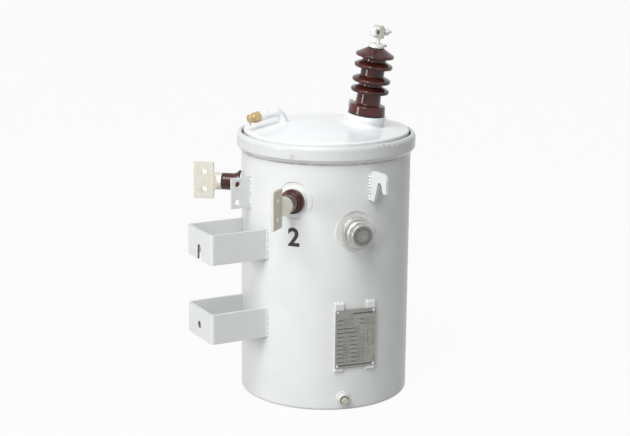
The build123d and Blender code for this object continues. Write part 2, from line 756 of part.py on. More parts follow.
# Ground plate on the pole side with two holes
with BuildPart() as ground_plate:
    with BuildSketch(upright(-90)):
        with Locations((TANK_RADIUS + (GROUND_LENGTH - ROOT) / 2, GROUND_Z)):
            Rectangle(GROUND_LENGTH + ROOT, GROUND_HEIGHT)
        two_holes(TANK_RADIUS + GROUND_LENGTH - GROUND_HOLE_INSET, GROUND_Z)
    extrude(amount=GROUND_THICK / 2, both=True)
    tank_cylinder()
ground_plate.part.label = "ground_plate"
export_step(ground_plate.part, "parts/ground_plate.step")


def strap_plan():
    """Plan of a U-shaped strap with rounded corners, its legs running into the tank."""
    inner_reach = BRACKET_REACH - BRACKET_PLATE
    leg_start = TANK_RADIUS * 0.75
    with BuildSketch() as strap:
        with Locations((-(BRACKET_REACH + leg_start) / 2, 0)):
            Rectangle(BRACKET_REACH - leg_start, BRACKET_WIDTH)
        fillet(strap.vertices().group_by(Axis.X)[0], BRACKET_BEND)
    with BuildSketch() as bay:
        with Locations((-(inner_reach + leg_start) / 2, 0)):
            Rectangle(inner_reach - leg_start, BRACKET_WIDTH - 2 * BRACKET_PLATE)
        fillet(bay.vertices().group_by(Axis.X)[0], BRACKET_BEND - BRACKET_PLATE)
    return strap.sketch - bay.sketch


# Upper pole bracket with an open-ended bolt slot
bolt_face = outward(-90, BRACKET_REACH - 2 * BRACKET_PLATE, 0)
slot_centre = UPPER_BRACKET_Z + SLOT_RISE - SLOT_WIDTH / 2
with BuildPart() as upper_bracket:
    with BuildSketch(Plane.XY.offset(UPPER_BRACKET_Z)):
        add(strap_plan())
    extrude(amount=BRACKET_HEIGHT)
    tank_cylinder()
    with BuildSketch(bolt_face):
        with Locations((0, slot_centre)):
            Circle(SLOT_WIDTH / 2)
        with Locations((0, slot_centre - SLOT_RISE / 2)):
            Rectangle(SLOT_WIDTH, SLOT_RISE)
    extrude(amount=3 * BRACKET_PLATE, mode=Mode.SUBTRACT)
upper_bracket.part.label = "upper_bracket"
export_step(upper_bracket.part, "parts/upper_bracket.step")

# Lower pole bracket with a round bolt hole
with BuildPart() as lower_bracket:
    with BuildSketch(Plane.XY.offset(LOWER_BRACKET_Z)):
        add(strap_plan())
    extrude(amount=BRACKET_HEIGHT)
    tank_cylinder()
    with BuildSketch(bolt_face):
        with Locations((0, LOWER_BRACKET_Z + HOLE_RISE)):
            Circle(SLOT_WIDTH / 2)
    extrude(amount=3 * BRACKET_PLATE, mode=Mode.SUBTRACT)
lower_bracket.part.label = "lower_bracket"
export_step(lower_bracket.part, "parts/lower_bracket.step")

# Lifting lugs: thick hook plates with a round-topped throat that is open at the foot
slot_top = (LUG_SLOT_OUT, LUG_SLOT_TOP)
slot_near = (LUG_SLOT_OUT - LUG_SLOT_RADIUS, LUG_SLOT_TOP - LUG_SLOT_RADIUS)
slot_far = (LUG_SLOT_OUT + LUG_SLOT_RADIUS, LUG_SLOT_TOP - LUG_SLOT_RADIUS)
corner_cut = LUG_CORNER * (1 - math.sqrt(0.5))
for name, angle in (("lifting_lug_front", LUG_ANGLE), ("lifting_lug_rear", LUG_ANGLE + 180)):
    lug_plane = upright(angle)
    lug_foot = Plane(
        origin=lug_plane.x_dir * TANK_RADIUS + Vector(0, 0, LUG_FOOT_Z),
        x_dir=lug_plane.x_dir,
        z_dir=lug_plane.z_dir,
    )
    with BuildPart() as lug:
        with BuildSketch(lug_foot):
            with BuildLine():
                Polyline((-ROOT, LUG_HEIGHT - LUG_ROOT_BEVEL), (-ROOT, 0), (LUG_LEG, 0), slot_near)
                ThreePointArc(slot_near, slot_top, slot_far)
                Polyline(
                    slot_far,
                    (LUG_LENGTH - LUG_TOE, LUG_TOE_RISE),
                    (LUG_LENGTH, LUG_TOE_RISE),
                    (LUG_LENGTH, LUG_HEIGHT - LUG_CORNER),
                )
                ThreePointArc(
                    (LUG_LENGTH, LUG_HEIGHT - LUG_CORNER),
                    (LUG_LENGTH - corner_cut, LUG_HEIGHT - corner_cut),
                    (LUG_LENGTH - LUG_CORNER, LUG_HEIGHT),
                )
                Polyline(
                    (LUG_LENGTH - LUG_CORNER, LUG_HEIGHT),
                    (LUG_ROOT_BEVEL, LUG_HEIGHT),
                    (-ROOT, LUG_HEIGHT - LUG_ROOT_BEVEL),
                )
            make_face()
        extrude(amount=LUG_THICK / 2, both=True)
        tank_cylinder()
    lug.part.label = name
    export_step(lug.part, f"parts/{name}.step")

# Tap changer: welded ring, knurled flange, then a drum and cap
tap_seat = outward(TAP_ANGLE, TANK_RADIUS, TAP_Z)
with BuildPart() as tap_boss:
    with BuildSketch(section(tap_seat)):
        with BuildLine():
            Polyline(
                (0, -ROOT),
                (TAP_BOSS_RADIUS, -ROOT),
                (TAP_BOSS_RADIUS, TAP_BOSS_RISE - TAP_BOSS_EDGE),
                (TAP_BOSS_RADIUS - TAP_BOSS_EDGE, TAP_BOSS_RISE),
                (0, TAP_BOSS_RISE),
                close=True,
            )
        make_face()
    revolve(axis=spin_axis(tap_seat))
    tank_cylinder()
tap_boss.part.label = "tap_boss"
export_step(tap_boss.part, "parts/tap_boss.step")

flange_seat = raised(tap_seat, TAP_BOSS_RISE)
knurl_width = math.pi * TAP_FLANGE_RADIUS / KNURL_COUNT
with BuildPart() as tap_flange:
    with BuildSketch(flange_seat):
        Circle(TAP_FLANGE_RADIUS)
    extrude(amount=TAP_FLANGE_THICK)
    chamfer(tap_flange.edges().filter_by(GeomType.CIRCLE).sort_by(spin_axis(tap_seat))[-1], TAP_FLANGE_EDGE)
    with BuildSketch(raised(flange_seat, TAP_FLANGE_THICK / 4)):
        with PolarLocations(TAP_FLANGE_RADIUS, KNURL_COUNT):
            Rectangle(2 * KNURL_DEPTH, knurl_width)
    extrude(amount=TAP_FLANGE_THICK, mode=Mode.SUBTRACT)
tap_flange.part.label = "tap_flange"
export_step(tap_flange.part, "parts/tap_flange.step")

drum_seat = raised(flange_seat, TAP_FLANGE_THICK)
tap_face = TAP_DRUM_LENGTH + TAP_CAP_LENGTH
with BuildPart() as tap_cap:
    with BuildSketch(section(drum_seat)):
        with BuildLine():
            Polyline(
                (0, 0),
                (TAP_DRUM_RADIUS, 0),
                (TAP_DRUM_RADIUS, TAP_DRUM_LENGTH),
                (TAP_CAP_RADIUS, TAP_DRUM_LENGTH + TAP_DRUM_RADIUS - TAP_CAP_RADIUS),
                (TAP_CAP_RADIUS, tap_face - TAP_CAP_EDGE),
                (TAP_CAP_RADIUS - TAP_CAP_EDGE, tap_face),
                (0, tap_face),
                close=True,
            )
        make_face()
    revolve(axis=spin_axis(drum_seat))
tap_cap.part.label = "tap_cap"
export_step(tap_cap.part, "parts/tap_cap.step")

# Nameplate standing off the wall on two vertical straps
plate_seat = outward(PLATE_ANGLE, TANK_RADIUS + STRAP_THICK, PLATE_Z)
strap_middle = (STRAP_OVER - STRAP_UNDER) / 2
with BuildPart() as nameplate_straps:
    with BuildSketch(outward(PLATE_ANGLE, TANK_RADIUS - ROOT, PLATE_Z)):
        with Locations((-STRAP_SPREAD, strap_middle), (STRAP_SPREAD, strap_middle)):
            Rectangle(STRAP_WIDTH, PLATE_HEIGHT + STRAP_OVER + STRAP_UNDER)
    extrude(amount=ROOT + STRAP_THICK)
    tank_cylinder()
nameplate_straps.part.label = "nameplate_straps"
export_step(nameplate_straps.part, "parts/nameplate_straps.step")

with BuildPart() as nameplate:
    with BuildSketch(plate_seat):
        RectangleRounded(PLATE_WIDTH, PLATE_HEIGHT, PLATE_CORNER)
    extrude(amount=PLATE_THICK)
nameplate.part.label = "nameplate"
export_step(nameplate.part, "parts/nameplate.step")

with BuildPart() as nameplate_rivets:
    with BuildSketch(raised(plate_seat, PLATE_THICK)):
        with GridLocations(PLATE_WIDTH - 2 * RIVET_INSET, PLATE_HEIGHT - 2 * RIVET_INSET, 2, 2):
            Circle(RIVET_RADIUS)
    extrude(amount=RIVET_RISE)
nameplate_rivets.part.label = "nameplate_rivets"
export_step(nameplate_rivets.part, "parts/nameplate_rivets.step")

# Ground boss near the foot with its washer and hexagon bolt
earth_seat = outward(EARTH_ANGLE, TANK_RADIUS, EARTH_Z)
with BuildPart() as earth_boss:
    with BuildSketch(raised(earth_seat, -ROOT)):
        Circle(EARTH_BOSS_RADIUS)
    extrude(amount=ROOT + EARTH_BOSS_LENGTH)
    tank_cylinder()
earth_boss.part.label = "earth_boss"
export_step(earth_boss.part, "parts/earth_boss.step")

washer_seat = raised(earth_seat, EARTH_BOSS_LENGTH)
with BuildPart() as earth_bolt:
    with BuildSketch(washer_seat):
        Circle(EARTH_WASHER_RADIUS)
    extrude(amount=EARTH_WASHER_THICK)
    with BuildSketch(raised(washer_seat, EARTH_WASHER_THICK)):
        RegularPolygon(EARTH_FLATS / 2, 6, major_radius=False)
    extrude(amount=EARTH_HEAD)
earth_bolt.part.label = "earth_bolt"
export_step(earth_bolt.part, "parts/earth_bolt.step")
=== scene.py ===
"""Looks of a pole-type distribution transformer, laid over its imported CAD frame.

Metres, +Z up, origin at the centre of the tank foot. The pole side is -X and the front lifting lug is
on -Y. Angles round the tank are measured from -Y towards +X.
"""

import math
import random

import bmesh
import bpy
from bpy.props import FloatProperty, FloatVectorProperty, IntProperty, PointerProperty
from mathutils import Matrix, Vector


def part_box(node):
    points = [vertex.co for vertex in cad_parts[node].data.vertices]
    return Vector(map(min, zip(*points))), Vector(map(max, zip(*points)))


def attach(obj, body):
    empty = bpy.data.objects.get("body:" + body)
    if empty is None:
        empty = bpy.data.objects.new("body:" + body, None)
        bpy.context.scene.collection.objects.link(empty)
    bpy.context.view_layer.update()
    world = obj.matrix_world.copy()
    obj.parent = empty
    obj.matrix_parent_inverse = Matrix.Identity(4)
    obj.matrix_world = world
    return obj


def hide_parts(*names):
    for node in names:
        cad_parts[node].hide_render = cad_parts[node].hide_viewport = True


bl_info = {
    "name": "Pole Transformer Looks",
    "version": (1, 0, 0),
    "blender": (4, 5, 0),
    "location": "3D View > Sidebar > Transformer",
    "description": "Builds the finished pieces, paint, glaze and studio of a pole-type transformer",
    "category": "Object",
}

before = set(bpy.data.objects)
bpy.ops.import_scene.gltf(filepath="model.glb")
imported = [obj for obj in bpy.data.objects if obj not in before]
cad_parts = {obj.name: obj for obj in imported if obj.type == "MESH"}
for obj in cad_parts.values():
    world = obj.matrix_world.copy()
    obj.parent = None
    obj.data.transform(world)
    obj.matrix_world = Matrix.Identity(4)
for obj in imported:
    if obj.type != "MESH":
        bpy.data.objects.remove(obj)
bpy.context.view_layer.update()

MM = 0.001
SHARP = math.radians(32)
BODY = "root"
UPRIGHT = Matrix.Identity(4)

# Sizes that no setting gives: those with MM in metres, the others in millimetres, as outlines take them

# Tank, lid and ring
RING_CURL = math.radians(150)
HEM_GAP = 1.0
SHOULDER_STEPS = 15
LIP_START = 150 * MM
LIP_LIFT = 2.5 * MM
LIP_TURN = 6 * MM
DISH_DEPTH = 9 * MM
DISH_RISE = 6 * MM
BEAD_PITCH = 1.1 * MM
BEAD_SET = 0.6 * MM

# Bushings, post and relief pipe
FOOT_GASKET = 2.5
CAP_GASKET = 1.5
SHED_TIPS = (56.8, 81.8, 117.4, 141.6)
CAP_HEIGHT = 8
STEM_HEIGHT = 13
STEM_OFFSET = 3.5 * MM
JAW_WIDTH = 13 * MM
SIDE_SEAT = 6.5 * MM
POST_RADIUS = 4.6
PIPE_FOOT = 8 * MM
PIPE_RISE = 7.5 * MM
PIPE_RUN = 22 * MM
SLEEVE = 19.5
VALVE_FLATS = 23.5 * MM
VALVE_PIN = 27 * MM

# Fittings on the wall
HOLE_PLANE = -340.5 * MM
HOLE_REACH = 10 * MM
LUG_THICK = 8 * MM
LUG_THROAT = 30 * MM
LUG_SHOULDER = 13 * MM
TAP_SEAT = 50 * MM
TAP_FLANGE = 37.5
TAP_LIFT = 5 * MM
TAP_BODY = 11
TAP_DRUM = 32
TICK_RADIUS = 17.2 * MM
TICKS = 16
PLATE_LIFT = 3 * MM
PLATE_WIDTH = 104 * MM
PLATE_HEIGHT = 146 * MM
PLATE_SHEET = 1.2 * MM
RIVET_INSET = 5.5
EARTH_REACH = 17.5
EARTH_BEAD = 13.2 * MM
BOLT_RADIUS = 9.4 * MM
MARK_STRIP = 3 * MM
MARK_SIZE = 62 * MM
MARK_FOOT = 410 * MM
MARK_RIGHT = math.radians(-50)
MARK_LEFT = math.radians(-130)

# Studio, in metres
CAMERA_AZIMUTH = math.radians(-29)
AIM_HEIGHT = 0.4
LAMPS = (
    ("Key", (-2.06, -1.50, 3.86), 2.4, 2.4),
    ("Side", (-3.80, -0.15, 0.90), 0.8, 1.3),
    ("Strip", (-2.48, -2.23, 1.75), 0.22, 0.9),
)
FLOOR_REACH = 14
FLOOR_GLOW = 0.95
WHITE = (1, 1, 1, 1)

# Dirt and painted shade, in linear light, and the tool marks of the lathe
DRIPS = (0.50, 0.49, 0.45)
DUST = (0.42, 0.40, 0.36)
RUST = (0.26, 0.17, 0.10)
# Grime and painted shade in the crease under the clamp ring's hem
HEM_DIRT_AND_SHADE = (0.24, 0.20, 0.16)
SCUFF = (0.22, 0.19, 0.16)
BEAD_DIRT = (0.36, 0.31, 0.25)
THIN_GLAZE = (0.16, 0.055, 0.035)
HANDLING = (0.22, 0.19, 0.15)
BLOOM = (0.12, 0.115, 0.11)
ETCHING = (0.03, 0.03, 0.032)
RING_KNOCKS = ((-50, 628, 9), (6, 648, 7), (10, 650, 8), (14, 647, 7), (19, 650, 5), (24, 640, 4))
TOOL_PITCH = 1.1 * MM


def length(name, description, millimetres):
    """A size that a user may change, shown in the scene's own unit."""
    return FloatProperty(
        name=name, description=description, default=millimetres * MM, unit="LENGTH", subtype="DISTANCE"
    )


def turn(name, description, degrees):
    """An angle that a user may change."""
    return FloatProperty(
        name=name, description=description, default=math.radians(degrees), unit="ROTATION", subtype="ANGLE"
    )


def power(name, description, watts):
    """The power of a lamp."""
    return FloatProperty(name=name, description=description, default=watts, unit="POWER")


def tint(name, description, colour):
    """A colour that a user may change, in linear light."""
    return FloatVectorProperty(
        name=name, description=description, default=colour, size=3, min=0.0, max=1.0, subtype="COLOR"
    )


class TankSizes(bpy.types.PropertyGroup):
    """Sizes of the welded tank, its lid and its clamp ring."""

    radius: length("Radius", "Outer radius of the rolled wall", 208.0)
    wall: length("Wall", "Thickness of the wall and foot", 4.0)
    knuckle: length("Foot knuckle", "Rounding where the foot turns up into the wall", 9.0)
    rim_height: length("Rim height", "Height at which the wall turns out", 628.0)
    rim_radius: length("Rim radius", "Outer radius of the three clamped rims", 216.5)
    flange_height: length("Lid flange height", "Underside of the lid's flat rim", 636.0)
    riser_radius: length("Riser radius", "Outer radius of the lid's upright riser", 203.0)
    riser_height: length("Riser height", "Height at which the riser meets the dome", 658.0)
    crown_height: length("Crown height", "Top of the domed lid", 686.0)
    sheet: length("Lid sheet", "Thickness of the pressed lid", 3.5)
    ring_radius: length("Ring radius", "Outer radius of the clamp ring", 219.5)
    ring_crest: length("Ring crest", "Radius at which the ring's shoulder is highest", 211.0)
    ring_mouth: length("Ring mouth", "Radius that the ring's shoulder curls down to", 206.5)
    ring_shoulder: length("Ring shoulder", "Height at which the ring's shoulder starts to round", 643.0)
    ring_top: length("Ring top", "Top of the ring's lip", 654.5)
    ring_foot: length("Ring foot", "Height at which the ring's skirt tucks in", 621.0)
    ring_hem: length("Ring hem", "Lowest edge of the ring", 609.0)
    ring_sheet: length("Ring sheet", "Thickness of the ring", 3.0)


class BushingSizes(bpy.types.PropertyGroup):
    """Places and sizes of the high-voltage and low-voltage bushings."""

    tall_angle: turn("Tall bushing angle", "Where the tall bushing stands round the lid", 44.0)
    tall_reach: length("Tall bushing reach", "Its distance from the tank axis, along the dome", 98.5)
    collar_radius: length("Collar radius", "Neck of the welded collar", 45.5)
    collar_flange: length("Collar flange radius", "Outer radius of the collar's flange", 49.0)
    collar_top: length("Collar top", "Height of the collar over the dome", 22.0)
    shed_radius: length("Shed radius", "Outer radius of the porcelain sheds", 47.0)
    core_radius: length("Core radius", "Radius of the porcelain between its sheds", 29.0)
    porcelain_height: length("Porcelain height", "From the gasket to the cap gasket", 161.5)
    side_angle: turn("Side bushing angle", "Angle of each side bushing from the bracket plane", 40.0)
    side_height: length("Side bushing height", "Height of the right bushing's axis", 520.0)
    left_drop: length("Left drop", "How much lower the left bushing's axis sits", 8.0)
    side_boss: length("Side boss radius", "Radius of the welded boss", 46.0)
    barrel_radius: length("Barrel radius", "Radius of the side porcelain's barrel", 21.5)


class FittingSizes(bpy.types.PropertyGroup):
    """Places of the smaller fittings."""

    post_angle: turn("Post angle", "Where the post stands round the lid", 80.0)
    post_reach: length("Post reach", "Distance of the post from the tank axis", 54.0)
    pipe_angle: turn("Pipe angle", "Where the relief pipe leaves the lid", -104.5)
    pipe_reach: length("Pipe reach", "Distance of the pipe's root from the tank axis", 108.0)
    pipe_radius: length("Pipe radius", "Outer radius of the relief pipe", 10.0)
    tap_angle: turn("Tap changer angle", "Where the tap changer sits round the tank", -8.6)
    tap_height: length("Tap changer height", "Height of the tap changer's axis", 446.5)
    tap_ribs: IntProperty(name="Tap ribs", description="Ribs round the knurled flange", default=44, min=12)
    plate_angle: turn("Nameplate angle", "Where the nameplate sits round the tank", -8.0)
    plate_height: length("Nameplate height", "Height of the nameplate's middle", 183.0)
    earth_angle: turn("Ground boss angle", "Where the ground boss sits round the tank", -15.9)
    earth_height: length("Ground boss height", "Height of the ground boss", 33.0)
    lug_angle: turn("Lug angle", "Where the front lifting lug sits round the tank", 2.7)
    bead: length("Weld bead", "Half width of a weld bead", 3.0)


class FinishColours(bpy.types.PropertyGroup):
    """Base colours of the finishes."""

    paint: tint("Enamel", "Light grey enamel of the tank", (0.715, 0.73, 0.715))
    lid: tint("Lid enamel", "Glossier enamel of the lid", (0.82, 0.84, 0.845))
    porcelain: tint("Glaze", "Chocolate brown glaze", (0.062, 0.014, 0.010))
    tinned: tint("Tinned bronze", "Dull tinned terminals", (0.64, 0.615, 0.54))
    # Darker grey-green of the eye clamp's side away from the light: weathering and painted shade
    jaw: tint("Weathered jaw", "Grey-green jaw of the eye clamp", (0.56, 0.58, 0.50))
    cast: tint("Pale casting", "Cap and clamp of the tall bushing", (0.80, 0.81, 0.77))
    machined: tint("Machined aluminium", "Turned sides of the tap changer", (0.52, 0.515, 0.49))
    face: tint("Tap face", "Dull face of the tap changer", (0.27, 0.265, 0.245))
    rivet: tint("Rivet metal", "Rivets of the nameplate", (0.75, 0.75, 0.73))
    zinc: tint("Zinc", "Plated bolts and screws", (0.46, 0.42, 0.36))
    bolt: tint("Bolt head", "Head of the ground bolt", (0.50, 0.47, 0.40))
    brass: tint("Brass", "Aged relief valve", (0.60, 0.45, 0.25))
    rubber: tint("Rubber", "Gaskets and seals", (0.02, 0.02, 0.022))
    cream: tint("Cream plastic", "Collar of the post", (0.78, 0.76, 0.68))
    plate: tint("Etched plate", "Nameplate", (0.31, 0.31, 0.285))
    ink: tint("Marking", "Stencilled numbers", (0.012, 0.012, 0.014))


class StudioSettings(bpy.types.PropertyGroup):
    """Camera and light."""

    distance: length("Camera distance", "From the tank axis to the camera on the ground plan", 3950.0)
    camera_height: length("Camera height", "Height of the camera", 1389.4)
    heading: turn("Heading", "Turn of the view from +Y towards +X", 28.63)
    pitch: turn("Pitch", "Tilt of the view below the horizon", 13.63)
    roll: turn("Roll", "Turn of the picture round the view", 0.59)
    lens: FloatProperty(name="Lens", description="Focal length", default=93.257, unit="CAMERA")
    key: power("Key light", "Power of the large soft key", 132.0)
    side: power("Side light", "Power of the low lamp on the pole side", 36.0)
    strip: power("Strip", "Power of the narrow lamp for highlights", 24.0)
    sky: FloatProperty(name="Sky", description="Strength of the even light all round", default=0.33)


# Seats: matrices whose z axis is the normal of the place where a fitting sits


def seat(origin, x_axis, z_axis):
    """Matrix at origin with that z axis and its x axis as near as it goes to x_axis."""
    up = Vector(z_axis).normalized()
    along = Vector(x_axis)
    along = (along - up * along.dot(up)).normalized()
    grid = Matrix((along, up.cross(along), up)).transposed().to_4x4()
    grid.translation = Vector(origin)
    return grid


def outward(angle, reach, height):
    """Seat on the tank wall: z points straight out and y is upright."""
    out = Vector((math.sin(angle), -math.cos(angle), 0))
    return seat(out * reach + Vector((0, 0, height)), (math.cos(angle), math.sin(angle), 0), out)


def side_seats(scene):
    """Seats of the two side bushings on the wall, by side."""
    sizes = scene.bushing_sizes
    radius = scene.tank_sizes.radius
    quarter = -math.pi / 2
    return {
        "left": outward(quarter - sizes.side_angle, radius, sizes.side_height - sizes.left_drop),
        "right": outward(quarter + sizes.side_angle, radius, sizes.side_height),
    }


def tap_seat(scene):
    """Seat of the tap changer on the wall."""
    fittings = scene.fitting_sizes
    return outward(fittings.tap_angle, scene.tank_sizes.radius, fittings.tap_height)


def dome_of(tank):
    """Radius of the lid's dome and the height of its centre."""
    sag = tank.crown_height - tank.riser_height
    radius = (tank.riser_radius**2 + sag**2) / (2 * sag)
    return radius, tank.crown_height - radius


def on_lid(tank, angle, reach):
    """Seat square to the dome, with x pointing away from the tank axis."""
    radius, centre = dome_of(tank)
    lean = math.asin(reach / radius)
    out = Vector((math.sin(angle), -math.cos(angle), 0))
    normal = out * math.sin(lean) + Vector((0, 0, math.cos(lean)))
    return seat(normal * radius + Vector((0, 0, centre)), out, normal)


def raised(base, lift, across=0, along=0):
    """The same seat moved along its own normal, and along its other two axes where asked."""
    return base @ Matrix.Translation((across, along, lift))


def facing(base, direction):
    """The same seat with its x axis turned towards a direction."""
    return seat(base.translation, direction, base.col[2].to_3d())


# Outlines


def millimetres(group, *names):
    """Sizes of a settings group in millimetres, as outlines take them."""
    return [getattr(group, name) / MM for name in names]


def rounded(corners, steps):
    """Outline through corners (across, along, rounding) in millimetres, in metres."""
    outline = []
    count = len(corners)
    for index, corner in enumerate(corners):
        here = Vector(corner[:2]) * MM
        rounding = corner[2] * MM if len(corner) > 2 else 0.0
        if rounding == 0.0:
            outline.append(tuple(here))
            continue
        back = (Vector(corners[index - 1][:2]) * MM - here).normalized()
        ahead = (Vector(corners[(index + 1) % count][:2]) * MM - here).normalized()
        half = back.angle(ahead) / 2
        centre = here + (back + ahead).normalized() * rounding / math.sin(half)
        start = here + back * rounding / math.tan(half) - centre
        end = here + ahead * rounding / math.tan(half) - centre
        sweep = start.angle(end)
        for step in range(steps + 1):
            share = step / steps
            near = math.sin((1 - share) * sweep) / math.sin(sweep)
            far = math.sin(share * sweep) / math.sin(sweep)
            outline.append(tuple(centre + start * near + end * far))
    return outline


def hexagon(radius):
    """Corners of a hexagon, as far from its middle as radius."""
    return [(radius * math.cos(k * math.pi / 3), radius * math.sin(k * math.pi / 3)) for k in range(6)]


def dome_line(tank, start, end, inset, steps):
    """Points along the dome's section from radius start to radius end."""
    radius, centre = dome_of(tank)
    spots = [start + (end - start) * step / steps for step in range(steps + 1)]
    return [(across, centre + math.sqrt((radius - inset) ** 2 - across**2)) for across in spots]


def shoulder_line(tank, inset):
    """Points along the clamp ring's shoulder, from its side over its crest and down towards the lid."""
    line = []
    for step in range(SHOULDER_STEPS + 1):
        angle = RING_CURL * step / SHOULDER_STEPS
        edge = tank.ring_radius if angle < math.pi / 2 else 2 * tank.ring_crest - tank.ring_mouth
        across = tank.ring_crest + (edge - tank.ring_crest - inset) * math.cos(angle)
        rise = (tank.ring_top - tank.ring_shoulder - inset) * math.sin(angle)
        line.append((across, tank.ring_shoulder + rise))
    return line


# Objects and meshes


def placed(name, held):
    """Object of a mesh, curve, lamp or camera, linked into the scene."""
    thing = bpy.data.objects.new(name, held)
    bpy.context.scene.collection.objects.link(thing)
    return thing


def mesh_of(name, shape):
    """Mesh of a bmesh, which is freed."""
    mesh = bpy.data.meshes.new(name)
    shape.to_mesh(mesh)
    shape.free()
    return mesh


def joined(shapes):
    """Several shapes as one bmesh."""
    whole = shapes[0]
    for shape in shapes[1:]:
        passing = mesh_of("passing", shape)
        whole.from_mesh(passing)
        bpy.data.meshes.remove(passing)
    return whole


def from_curve(curve):
    """Mesh of a curve or text as a bmesh."""
    holder = placed(curve.name, curve)
    graph = bpy.context.evaluated_depsgraph_get()
    mesh = bpy.data.meshes.new_from_object(holder.evaluated_get(graph))
    shape = bmesh.new()
    shape.from_mesh(mesh)
    bpy.data.objects.remove(holder)
    bpy.data.curves.remove(curve)
    bpy.data.meshes.remove(mesh)
    return shape


def cut_away(shape, cutter):
    """The shape without the cutter's volume."""
    whole = placed("whole", mesh_of("whole", shape))
    tool = placed("cutter", mesh_of("cutter", cutter))
    cut = whole.modifiers.new("Cut", "BOOLEAN")
    cut.operation = "DIFFERENCE"
    cut.solver = "EXACT"
    cut.object = tool
    left = bmesh.new()
    left.from_object(whole, bpy.context.evaluated_depsgraph_get())
    for holder in (whole, tool):
        mesh = holder.data
        bpy.data.objects.remove(holder)
        bpy.data.meshes.remove(mesh)
    return left


def piece(name, shapes, finishes, *nodes):
    """Finished object that rides on the body, takes its finishes and hides the CAD nodes that it stands for.
    """
    mesh = mesh_of(name, joined(shapes))
    mesh.shade_smooth()
    mesh.set_sharp_from_angle(angle=SHARP)
    for finish in finishes:
        mesh.materials.append(bpy.data.materials[finish])
    thing = placed(name, mesh)
    even = thing.modifiers.new("Even shading", "WEIGHTED_NORMAL")
    even.keep_sharp = True
    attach(thing, BODY)
    if nodes:
        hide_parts(*nodes)


def dressed(name, node, edge, finish):
    """Finished object made from a CAD node's own shape, with its edges softened."""
    piece(name, [merged_copy(node, edge)], [finish], node)


def repaint(finish, *nodes):
    """Gives CAD nodes that stay their finish."""
    for node in nodes:
        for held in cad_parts[node].material_slots:
            held.material = bpy.data.materials[finish]


# Shapes, each a bmesh in its place


def picked(items, *kinds):
    """Those of the items that are of the kinds asked for."""
    return [item for item in items if isinstance(item, kinds)]


def lathe(outline, place, steps, closed=False):
    """Outline of (radius, height) turned all the way round the seat's normal."""
    shape = bmesh.new()
    points = [shape.verts.new((across, 0, along)) for across, along in outline]
    pairs = list(zip(points, points[1:]))
    if closed:
        pairs.append((points[-1], points[0]))
    lines = [shape.edges.new(pair) for pair in pairs]
    bmesh.ops.spin(
        shape,
        geom=points + lines,
        axis=(0, 0, 1),
        cent=(0, 0, 0),
        dvec=(0, 0, 0),
        angle=2 * math.pi,
        steps=steps,
        use_merge=True,
        use_duplicate=False,
    )
    return settled(shape, place)


def settled(shape, place):
    """The shape with its seams closed and its faces outwards, moved to its place."""
    bmesh.ops.remove_doubles(shape, verts=shape.verts, dist=0.001 * MM)
    bmesh.ops.recalc_face_normals(shape, faces=shape.faces)
    bmesh.ops.transform(shape, matrix=place, verts=shape.verts)
    return shape


def turned(corners, place, steps, arc=4, closed=False):
    """Corners in millimetres, rounded and turned all the way round the seat's normal."""
    return lathe(rounded(corners, arc), place, steps, closed)


def disc(radius, low, high, edge, place, steps=48, arc=3, foot=0.0):
    """Round bar in millimetres, from low to high, with its far edge rounded and its near one by foot."""
    return turned([(0, low), (radius, low, foot), (radius, high, edge), (0, high)], place, steps, arc)


def dish(place, radius):
    """Cone that takes the wall away where a flat seat of that radius is pressed into it."""
    flat = (radius - DISH_DEPTH, -DISH_DEPTH)
    mouth = (radius + DISH_RISE, DISH_RISE)
    return lathe([(0, -DISH_DEPTH), flat, mouth, (0, DISH_RISE)], place, 128)


def plank(outline, place, low, high, edge, steps=2):
    """Flat outline drawn out from low to high along the seat's normal, with softened edges."""
    shape = bmesh.new()
    face = shape.faces.new([shape.verts.new((across, along, low)) for across, along in outline])
    grown = bmesh.ops.extrude_face_region(shape, geom=[face])["geom"]
    bmesh.ops.translate(shape, verts=picked(grown, bmesh.types.BMVert), vec=(0, 0, high - low))
    bmesh.ops.recalc_face_normals(shape, faces=shape.faces)
    soften(shape, edge, steps)
    bmesh.ops.transform(shape, matrix=place, verts=shape.verts)
    return shape


def soften(shape, edge, steps):
    """Rounds every sharp edge of a shape."""
    shape.normal_update()
    sharp = [line for line in shape.edges if line.is_manifold and line.calc_face_angle() > SHARP]
    bmesh.ops.bevel(
        shape,
        geom=sharp,
        offset=edge,
        offset_type="OFFSET",
        segments=steps,
        profile=0.5,
        affect="EDGES",
        material=-1,
        clamp_overlap=True,
    )


def merged_copy(node, edge, steps=2):
    """Copy of a CAD node with its triangles merged to plain faces and its edges softened."""
    shape = bmesh.new()
    shape.from_mesh(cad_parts[node].data)
    bmesh.ops.remove_doubles(shape, verts=shape.verts, dist=0.002 * MM)
    bmesh.ops.dissolve_limit(
        shape,
        angle_limit=math.radians(0.6),
        verts=shape.verts,
        edges=shape.edges,
        use_dissolve_boundaries=False,
    )
    soften(shape, edge, steps)
    return shape


def drawn_out(shape, edges, shift):
    """Draws a ring of edges out by a shift and gives the new ring."""
    grown = bmesh.ops.extrude_edge_only(shape, edges=edges)["geom"]
    ring = picked(grown, bmesh.types.BMVert, bmesh.types.BMEdge)
    bmesh.ops.translate(shape, verts=picked(ring, bmesh.types.BMVert), vec=shift)
    return ring


